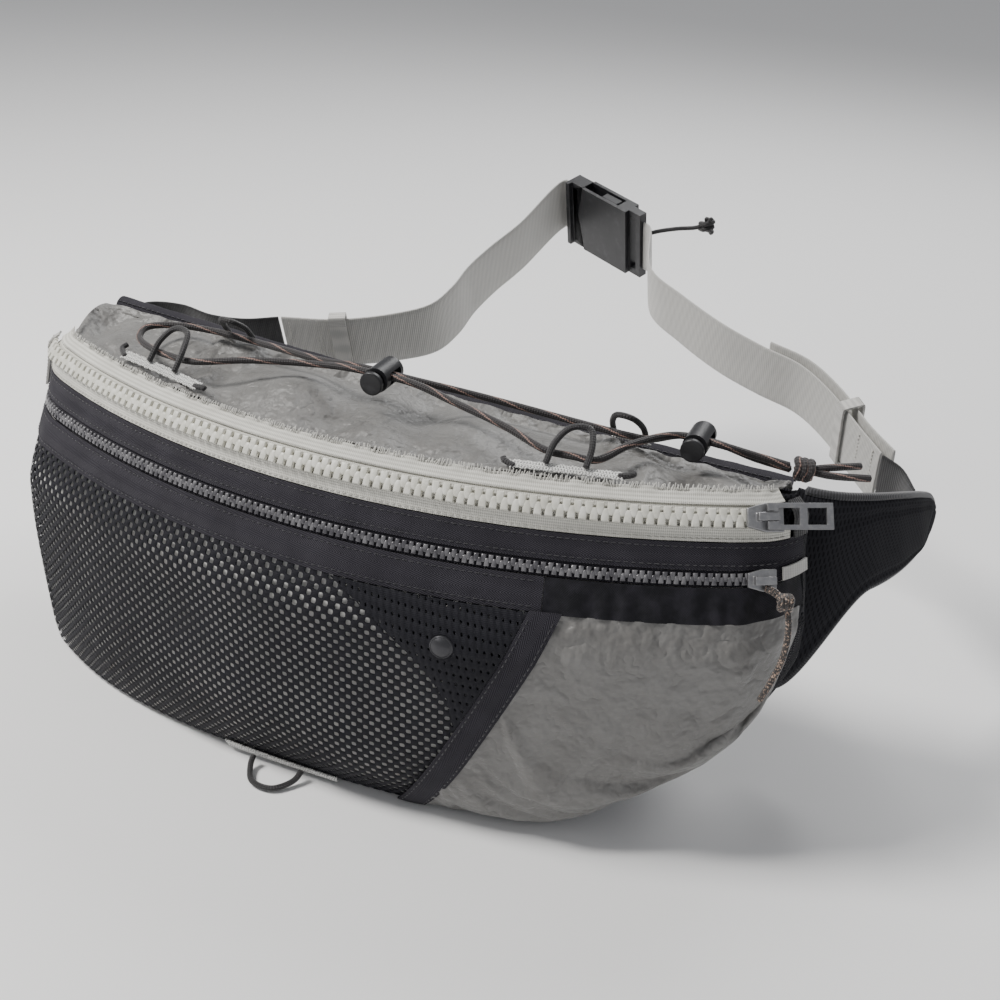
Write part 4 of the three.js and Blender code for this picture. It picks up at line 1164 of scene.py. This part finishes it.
def finished_casting(name, node, body, material, bevel, crease=35):
    """A moulded or cast piece: the part's own solid with its edges rounded over."""
    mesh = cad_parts[node].data.copy()
    mesh.name = name
    piece = bpy.data.objects.new(name, mesh)
    bpy.context.collection.objects.link(piece)
    made = bmesh.new()
    made.from_mesh(mesh)
    bmesh.ops.remove_doubles(made, verts=made.verts, dist=2e-6)
    bmesh.ops.dissolve_limit(made, angle_limit=math.radians(4), verts=made.verts, edges=made.edges)
    made.to_mesh(mesh)
    made.free()
    mesh.materials.clear()
    mesh.materials.append(material)
    mesh.polygons.foreach_set("material_index", [0] * len(mesh.polygons))
    rounding = piece.modifiers.new("rounding", "BEVEL")
    rounding.width = bevel * 0.001
    rounding.segments = 3
    rounding.limit_method = "ANGLE"
    rounding.angle_limit = math.radians(35)
    rounding.harden_normals = False
    mesh.polygons.foreach_set("use_smooth", [True] * len(mesh.polygons))
    mesh.set_sharp_from_angle(angle=math.radians(crease))
    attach(piece, body)
    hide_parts(node)
    return piece


finished_casting("main_slider_casting", "main_slider", "main_slider_body", gunmetal.material,
    0.45)
finished_casting("front_slider_casting", "front_slider", "front_slider_body", gunmetal.material,
    0.35)
finished_casting("main_pull_tag", "main_puller", "main_puller_body", gunmetal.material, 0.3)

# ---------------------------------------------------------------------------------------------
# Snap fastener. A black plated cap with a shallow dome and a turned rim holds the mesh pocket.
snap_metal = Finish("snap_plating", (0.055, 0.055, 0.06), Metallic=0.7, Roughness=0.38)
snap_metal.feed("Roughness", 0.3 + snap_metal.mottle(500) * 0.25)
snap_metal.relief(snap_metal.mottle(700) * 0.0001)
snap_u, snap_z = 54.7, 92.4
snap_at, snap_n = on_front(snap_u, snap_z, 2.35), front_normal(snap_u, snap_z)
snap_a = unit(np.cross([0, 0, 1.0], snap_n))
snap_b = np.cross(snap_n, snap_a)
profile = [(0.0, 0.0), (4.55, 0.0), (4.75, 0.25), (4.7, 0.75), (4.35, 1.05), (4.05, 0.95), (3.8, 1.15),
    (3.0, 1.75),
           (1.8, 2.15), (0.7, 2.3), (0.0, 2.32)]
v, f, q = [], [], []
for k, (r, h) in enumerate(profile):
    for i in range(40):
        a = 2 * math.pi * i / 40
        v.append(to_row(snap_at + snap_a * r * math.cos(a) + snap_b * r * math.sin(a) + snap_n * h))
        q.append((r * math.cos(a) * 0.001, r * math.sin(a) * 0.001))
        if k:
            j = (i + 1) % 40
            f.append(((k - 1) * 40 + i, (k - 1) * 40 + j, k * 40 + j, k * 40 + i))
snap = weld(mesh_piece("snap_cap_turned", v, f, q, snap_metal.material, 40))
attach(snap, "pack")
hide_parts("snap_cap")

# ---------------------------------------------------------------------------------------------
# Belt webbing. 32 mm woven polyester: light grey for the waist belt and black where it is sewn
# to the wings. Each strap is one flat length, stitched in boxes where it is doubled over.


def webbing(name, dark, light, rib):
    f = Finish(name, light, Roughness=0.68, Sheen_Weight=0.3, Sheen_Roughness=0.45)
    s, w = f.along(), f.across()
    rows = s.wave(rib)
    wales = w.wave(rib * 1.7)
    cloth = rows * 0.55 + (s * 0.5 + w).wave(rib * 2.0) * wales * 0.45
    edge = ((w - 0.016).maths("ABSOLUTE")).ramp(0.0132, 0.0142)
    f.tint(dark, light, cloth.ramp(-0.8, 0.6) * (1 - edge * 0.35) * (f.mottle(45, 4.0).ramp(0.15,
        0.75) * 0.35 + 0.65))
    f.relief(cloth * 0.00009 + f.mottle(30) * 0.0006)
    return f.material


grey_webbing = webbing("grey_webbing", (0.40, 0.395, 0.38), (0.57, 0.56, 0.53), 0.0011)
black_webbing = webbing("black_webbing", (0.006, 0.006, 0.007), (0.030, 0.029, 0.032), 0.0011)

def strap(name, knots, material, width=32.0, thick=1.6, count=None, across=belt_across, wave=0.0):
    """A flat strap along a path in mm, with rounded edges and a slightly uneven lie."""
    rough = smooth_path(knots, 60)
    length = path_length(rough)
    count = count or max(8, int(length / 2.2))
    line = smooth_path(knots, count)
    tangent = unit(np.gradient(line, axis=0))
    off = unit(np.cross(tangent, across))
    side = unit(np.cross(off, tangent))
    run = np.concatenate([[0], np.cumsum(np.linalg.norm(np.diff(line, axis=0), axis=1))])
    steps = np.array([-1, -0.97, -0.9, -0.6, -0.3, 0, 0.3, 0.6, 0.9, 0.97, 1])
    swell = np.sqrt(np.clip(1 - np.abs(steps) ** 14, 0.06, 1))
    lie = wave * np.sin(run / 21.0)[:, None] * steps[None, :]
    centre = line[:, None, :] + side[:, None, :] * (steps[None, :, None] * width / 2) + off[:, None,
        :] * lie[..., None]
    outer = centre + off[:, None, :] * (swell * thick / 2)[None, :, None]
    inner = centre - off[:, None, :] * (swell * thick / 2)[None, :, None]
    uv = np.stack(np.broadcast_arrays(run[:, None], (steps * width / 2 + width / 2)[None, :]),
        -1) * 0.001
    return thick_piece(name, outer, inner, uv, material, 70), line, off, side, run


def belt_path(*pairs):
    return [belt_point(x, y) for x, y in pairs]


left_anchor, *_ = strap("left_anchor_strap", belt_path((-213, 78), (-206, 88), (-186, 92), (-165, 89),
    (-145, 91), (-128, 97.5)),
                        black_webbing)
plug_end = -socket_length / 2 - plug_base / 2 - 1
left_route = belt_path((-126.4, 98), (-96, 105), (-68, 118), (-53, 130), (-48, 147), (-47, 166),
    (-43, 186), (-36, 210))
left_route += [in_buckle(plug_end - 7, 0, 0), in_buckle(plug_end, 0, 0)]
left_strap, left_line, left_off, left_side, left_run = strap("left_belt_strap", left_route,
    grey_webbing, wave=0.35)
right_route = [in_buckle(socket_length / 2 + 9.6, 0, 0),
    in_buckle(socket_length / 2 + 14, 0, 0)] + belt_path(
    (50, 191), (72, 174), (99, 157), (123, 146), (144, 138), (162, 123.5), (181, 102), (192.4, 89.6))
right_strap, right_line, right_off, right_side, right_run = strap("right_belt_strap", right_route,
    grey_webbing, wave=0.3)
right_anchor, *_ = strap("right_anchor_strap", belt_path((193.6, 88.6), (203, 83), (210.5, 72)),
    black_webbing)
tail_route = belt_path((126, 150.4), (147, 142.6), (165.6, 127.4), (184.6, 105.6), (198, 93))
right_tail, *_ = strap("right_belt_tail", tail_route, grey_webbing)
for piece, node, slot in ((left_anchor, "left_anchor_webbing", "webbing_black"),
    (right_strap, "right_strap", "webbing_grey"),
                          (right_anchor, "right_anchor_webbing", "webbing_black"),
                          (right_tail, "right_strap_tail", "webbing_grey"),
                          (left_strap, "left_strap", "webbing_grey")):
    if piece is not left_strap:
        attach(piece, "pack")
    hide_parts(node)
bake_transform(left_strap)


def strap_stitches(name, line, off, side, run, at, width=27.0, thread=None, face=1, body="pack"):
    """Rows of stitches straight across a strap at distances along it."""
    verts, faces, uvs = [], [], []
    for where in at:
        c = np.array([np.interp(where, run, line[:, k]) for k in range(3)])
        o = unit(np.array([np.interp(where, run, off[:, k]) for k in range(3)])) * face
        s = unit(np.array([np.interp(where, run, side[:, k]) for k in range(3)]))
        for w in np.arange(-width / 2, width / 2, 2.3):
            p = c + o * 0.86
            path = [p + s * w - o * 0.4, p + s * (w + 0.5), p + s * (w + 1.1),
                p + s * (w + 1.6) - o * 0.4]
            v, f, q = tube_of(to_row(path), 0.00028, 5)
            faces += [tuple(k + len(verts) for k in face_) for face_ in f]
            verts += v
            uvs += q
    piece = mesh_piece(name, verts, faces, uvs, thread, 80)
    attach(piece, body)
    return piece


for face in (1, -1):
    strap_stitches("stitches_left_strap_%d" % (face + 1), left_line, left_off, left_side, left_run,
        (4, 19, 21),
                   thread=pale_thread.material, face=face)
    strap_stitches("stitches_right_strap_%d" % (face + 1), right_line, right_off, right_side, right_run,
                   (right_run[-1] - 5, right_run[-1] - 17), thread=pale_thread.material, face=face)

# ---------------------------------------------------------------------------------------------
# Keepers. Flat woven loops of the same webbing that hold the doubled belt together and slide
# along it; each is one band wrapped round the strap and sewn shut.


def keeper_band(name, node, body, at, along, width, thick, length):
    along = unit(along)
    off = unit(np.cross(along, belt_across))
    hw, ht = width / 2, thick / 2
    corners = []
    for k in range(64):
        a = 2 * math.pi * k / 64
        c, s = math.cos(a), math.sin(a)
        corners.append((math.copysign(abs(c) ** 0.16, c), math.copysign(abs(s) ** 0.16, s)))
    lengths = np.linspace(-length / 2, length / 2, 9)
    outer = np.array([[at + along * l + belt_across * (hw * c) + off * (ht * s) for l in lengths] for c,
        s in corners + corners[:1]])
    inside = np.array([[at + along * l + belt_across * ((hw - 1.2) * c) + off * ((ht - 1.2) * s)
        for l in lengths]
                       for c, s in corners + corners[:1]])
    run = np.linspace(0, 2 * (width + thick), 65)
    uv = np.stack(np.broadcast_arrays(run[:, None], lengths[None, :] + 16), -1) * 0.001
    piece = weld(thick_piece(name, outer, inside, uv, grey_webbing, 70))
    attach(piece, body)
    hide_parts(node)


keeper_band("left_keeper_band", "left_keeper", "left_keeper_body", belt_point(-96, 105),
            belt_point(-84, 109.4) - belt_point(-109, 100.8), 36.4, 6.6, 9)
keeper_band("right_keeper_band", "right_keeper", "right_keeper_body", belt_point(173.4, 115.6),
            belt_point(184, 103) - belt_point(163, 128), 36.4, 12, 6)

# ---------------------------------------------------------------------------------------------
# Side-release buckle and cord locks. Moulded black acetal with rounded edges and a fine matt
# texture; the plug's two sprung arms click into the socket's side windows.
black_acetal = Finish("black_acetal", (0.014, 0.014, 0.016), Roughness=0.36, Specular_IOR_Level=0.5)
acetal_grain = black_acetal.mottle(1400, 2.0)
black_acetal.relief(acetal_grain * 0.00007)
black_acetal.feed("Roughness", 0.30 + black_acetal.mottle(120, 4.0) * 0.2)
black_acetal.tint((0.010, 0.010, 0.012), (0.028, 0.028, 0.031),
    black_acetal.mottle(220, 4.0).ramp(0.5, 0.8))
finished_casting("buckle_socket_moulding", "buckle_socket", "pack", black_acetal.material,
    0.9)
finished_casting("buckle_plug_moulding", "buckle_plug", "plug", black_acetal.material,
    0.8)
finished_casting("buckle_arm_high", "plug_arm_high", "arm_high", black_acetal.material,
    0.9)
finished_casting("buckle_arm_low", "plug_arm_low", "arm_low", black_acetal.material,
    0.9)
finished_casting("centre_lock_shell", "centre_lock_barrel", "centre_lock", black_acetal.material,
    0.7)
finished_casting("centre_lock_button", "centre_lock_plunger", "centre_plunger", black_acetal.material,
    0.6)
finished_casting("end_lock_shell", "end_lock_barrel", "end_lock", black_acetal.material,
    0.9)
finished_casting("end_lock_button", "end_lock_plunger", "end_plunger", black_acetal.material,
    0.6)

# ---------------------------------------------------------------------------------------------
# Wings. Foam pads covered in black air mesh that wrap round the hips, bound along the edge with
# a rolled tape and quilted by one row of stitches.
air_mesh = Finish("air_mesh", (0.014, 0.014, 0.017), Roughness=0.9, Specular_IOR_Level=0.15)
air_u, air_v = air_mesh.along(), air_mesh.across()
air_hole = ((air_u + air_v * 0.58).wave(0.0022) + (air_u - air_v * 0.58).wave(0.0022)).ramp(0.3, 1.2)
air_mesh.relief(air_hole * -0.0004 + air_mesh.mottle(25) * 0.001)
# painted shade: the holes are coloured darker, standing in for the shade that falls inside them; the
# noise adds a little random tone
air_mesh.tint((0.022, 0.022, 0.026), (0.008, 0.008, 0.010), air_hole * 0.8 + air_mesh.mottle(40) * 0.2)
rolled_tape = Finish("rolled_edge_tape", (0.02, 0.02, 0.023), Roughness=0.7, Sheen_Weight=0.3)
rolled_tape.relief(rolled_tape.along().wave(0.0012) * 0.00008)
rolled_tape.tint((0.012, 0.012, 0.014), (0.036, 0.036, 0.042),
    rolled_tape.along().wave(0.0012).ramp(-0.5, 0.8))


def wing_frame(t):
    a = t * math.radians(78)
    full = math.radians(78)
    x = 169.5 + 50 * np.sin(a) / math.sin(full)
    y = 8 + 84 * (1 - np.cos(a)) / (1 - math.cos(full))
    round_end = np.where(t > 0.84, np.sqrt(np.clip(1 - ((t - 0.84) / 0.16) ** 2, 0.004, 1)), 1)
    low = blend_of(40.0, 88.0, ease(t * 2))
    high = 138 - 6 * t - 26 * t ** 3
    slope = unit(points(50 * np.cos(a) / math.sin(full), 84 * np.sin(a) / (1 - math.cos(full)), 0 * a))
    return x, y, (low + high) / 2, (high - low) / 2 * round_end, slope


def wing_point(side, t, h, out):
    x, y, centre, half, slope = wing_frame(t)
    return points(side * (x + slope[..., 1] * out), y - slope[..., 0] * out, centre + h * half)


for name, side in (("left", -1), ("right", 1)):
    t = np.linspace(-0.03, 1, 61)[None, :] + np.zeros((33, 1))
    h = np.linspace(-1, 1, 33)[:, None] + np.zeros((1, 61))
    pad = (1 - np.abs(h) ** 6) ** 0.5 * (1 - np.clip((t - 0.78) / 0.22, 0,
        1) ** 4) ** 0.5 * (1 - np.clip(1 - t / 0.06, 0, 1) ** 3)
    channel = np.exp(-((np.abs(h) - 0.72) / 0.05) ** 2) + np.exp(-((t - 0.9)
        / 0.015) ** 2) * (np.abs(h) < 0.72)
    puff = 0.7 + 2.9 * pad * (1 - 0.45 * np.clip(channel, 0, 1)) + 0.25 * np.sin(t * 34 + h * 3) * pad
    outer, inner = wing_point(side, t, h, puff), wing_point(side, t, h, -puff * 0.9)
    uv = np.stack([t * 105, h * 24], -1) * 0.001
    wing = thick_piece(name + "_wing_pad", outer if side > 0 else inner, inner if side > 0 else outer,
        uv, air_mesh.material, 70)
    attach(wing, "pack")
    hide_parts(name + "_wing")
    edge_t = np.concatenate([np.linspace(0.02, 1, 60), np.linspace(1, 0.02, 60)])
    edge_h = np.concatenate([np.ones(60), -np.ones(60)])
    rim = wing_point(side, edge_t, edge_h, np.zeros(120))
    tip = wing_point(side, np.ones(7), np.linspace(1, -1, 7), np.zeros(7))
    rim_path = smooth_path(np.vstack([rim[:58], tip[1:-1], rim[62:]])[::2], 150)
    v, f, q = tube_of(to_row(rim_path), 0.0019, 10)
    rim_piece = mesh_piece(name + "_wing_binding", v, f, q, rolled_tape.material, 80)
    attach(rim_piece, "pack")

# ---------------------------------------------------------------------------------------------
# End gussets. A triangle of black mesh closes each end between the front shell and the wing.
for name, side in (("left", -1), ("right", 1)):
    b = np.linspace(0, 1, 41)[:, None]
    a = np.linspace(0, 1, 21)[None, :]
    z = blend_of(6.0, 134.0, b) + 0 * a
    front = on_front(side * (side_end - 1.6) + 0 * z, z, -0.8)
    end = points(side * 166.4, 4 + 0 * z, front[..., 2])
    p = front + (end - front) * a[..., None]
    bow = 3.5 * np.sin(math.pi * a) + 0.35 * np.sin(b * 24 + a * 5) * np.sin(math.pi * a)
    outer = p + points(side * (bow + 1.1), 0 * z, 0 * z)
    inner = p + points(side * bow, 0 * z, 0 * z)
    uv = laid_flat(p)
    gusset = thick_piece(name + "_gusset_mesh", outer if side > 0 else inner,
        inner if side > 0 else outer, uv, close_mesh, 70)
    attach(gusset, "pack")
    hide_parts(name + "_gusset")
    cut_size(gusset)

# ---------------------------------------------------------------------------------------------
# Base and back. The base is one black nylon panel; the back is foam under air mesh, swollen by
# its filling and sewn down in two upright channels that split it into three pads.
base_nylon = Finish("base_nylon", (0.022, 0.021, 0.026), Roughness=0.6, Sheen_Weight=0.2)
base_nylon.relief(base_nylon.along().wave(0.0008) * base_nylon.across().wave(0.0008) * 0.00006
    + base_nylon.mottle(60) * 0.0005)
base_nylon.tint((0.014, 0.014, 0.018), (0.036, 0.035, 0.042), base_nylon.mottle(70).ramp(0.3, 0.7))
a = np.linspace(0, 1, 121)[None, :]
b = np.linspace(0, 1, 13)[:, None]
u = blend_of(-(side_end - 4), side_end - 4, a) + 0 * b
p = on_front(u, 1.4 + 0 * u, -2.2)
q = points(160 * u / (side_end - 4), -0.8 + 0 * u, 1.4 + 0 * u)
flat = p + (q - p) * b[..., None]
under, over = flat.copy(), flat.copy()
under[..., 2] = base_lift(u)
over[..., 2] = base_lift(u) + 1.5
uv = np.stack([u, b * 80 + 0 * u], -1) * 0.001
base_sheet = weld(thick_piece("base_nylon_panel", over, under, uv, base_nylon.material, 60))
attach(base_sheet, "pack")
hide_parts("base_panel")


def back_low(x):
    return 3.2 + base_lift(x * side_end / back_half) + 10 * ease((np.abs(x) - 130) / 36)


def foam_pad(name, grid_front, grid_back, uv_front, material, pressure, frames, cap):
    """A stuffed panel swollen by cloth pressure between two grids of points in mm."""
    piece = weld(thick_piece(name, grid_back, grid_front, uv_front, material, 60))
    rest = np.empty(len(piece.data.vertices) * 3, np.float32)
    piece.data.vertices.foreach_get("co", rest)
    piece.scale = (10, 10, 10)
    bpy.context.view_layer.update()
    bpy.context.view_layer.objects.active = piece
    cloth = piece.modifiers.new("cloth", "CLOTH")
    cloth.settings.quality = 5
    cloth.settings.mass = 0.3
    cloth.settings.tension_stiffness = 40
    cloth.settings.compression_stiffness = 40
    cloth.settings.bending_stiffness = 0.5
    cloth.settings.use_pressure = True
    cloth.settings.uniform_pressure_force = pressure
    cloth.settings.effector_weights.gravity = 0
    cloth.collision_settings.use_collision = False
    cloth.point_cache.frame_end = frames
    for step in range(1, frames + 1):
        bpy.context.scene.frame_set(step)
    done = piece.evaluated_get(bpy.context.evaluated_depsgraph_get())
    found = np.empty(len(rest), np.float32)
    done.data.vertices.foreach_get("co", found)
    piece.modifiers.remove(cloth)
    piece.scale = (1, 1, 1)
    bpy.context.scene.frame_set(1)
    move = (found - rest).reshape(-1, 3)
    size = np.linalg.norm(move, axis=1, keepdims=True)
    move *= np.minimum(1, cap * 0.001 / np.maximum(size, 1e-9))
    piece.data.vertices.foreach_set("co", (rest + move.ravel()).astype(np.float32))
    piece.data.update()
    return piece


x = np.linspace(-back_half - 3.6, back_half + 3.6, 111)[None, :]
t = np.linspace(0, 1, 45)[:, None]
z = blend_of(back_low(x) + 1.0, back_high(x) - 1.0, t)
border = ease((back_half + 4 - np.abs(x)) / 12) * ease(t / 0.10) * ease((1 - t) / 0.10)
channels = np.exp(-((np.abs(x) - 52 - 10 * t) / 3.2) ** 2) + 0.8 * np.exp(-((t - 0.5)
    / 0.03) ** 2) * (np.abs(x) < 50)
depth = 4.6 + 4.0 * border * (1 - 0.75 * np.clip(channels, 0, 1)) + 0.15 * np.sin(x / 7 + 5 * t)
behind = points(x + 0 * t, back_plan(x) + depth, z)
ahead = points(x + 0 * t, back_plan(x) + 0.4 + 0 * z, z)
uv = np.stack([x + 0 * t, z], -1) * 0.001
back_pad = foam_pad("back_foam_pad", ahead, behind, uv, air_mesh.material, 1.2, 12, 1.6)
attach(back_pad, "pack")
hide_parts("back_panel")
for name, sign in (("left", -1), ("right", 1)):
    tt = np.linspace(0.08, 0.92, 60)
    cx = sign * (52 + 10 * tt)
    cz = blend_of(back_low(cx), back_high(cx), tt)
    spots = points(cx, back_plan(cx) + 6.2, cz)
    stitch_line("stitches_back_channel_" + name, spots, np.tile([0, 1.0, 0], (60, 1)), 3.2, 2.3, 0.5,
        dark_thread.material)

# ---------------------------------------------------------------------------------------------
# End tabs. Short webbing tabs are sewn over both zip ends at the right, and a white and grey
# tab with a stitched square and cross closes the left end.
tab_grey = front_sheet("front_zip_end_tab_webbing", 176, side_end - 1, 122.0, 126.9, 1.4, 2.2,
    grey_webbing, 14, 6)
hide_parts("front_zip_end_tab")
tab_black = front_sheet("main_zip_end_tab_webbing", 181, side_end - 1, 137.4, 149.4, 1.4, 2.3,
    black_webbing, 12, 12)
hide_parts("main_zip_end_tab")
tab_left = front_sheet("left_end_tab_webbing", -side_end + 0.5, -side_end + 6, 126, 149, 2.3, 3.2,
    grey_webbing, 10, 24)
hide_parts("left_end_tab")
cross_u = np.array([-side_end + 1.2, -side_end + 5.3, -side_end + 5.3, -side_end + 1.2, -side_end + 1.2,
    -side_end + 5.3])
cross_z = np.array([128, 128, 147, 147, 128, 147.0])
steps = np.linspace(0, 5, 90)
cu, cz = np.interp(steps, range(6), cross_u), np.interp(steps, range(6), cross_z)
stitch_line("stitches_left_end_tab", on_front(cu, cz, 3.35), front_normal(cu, cz), 1.7, 1.3, 0.4,
    pale_thread.material)
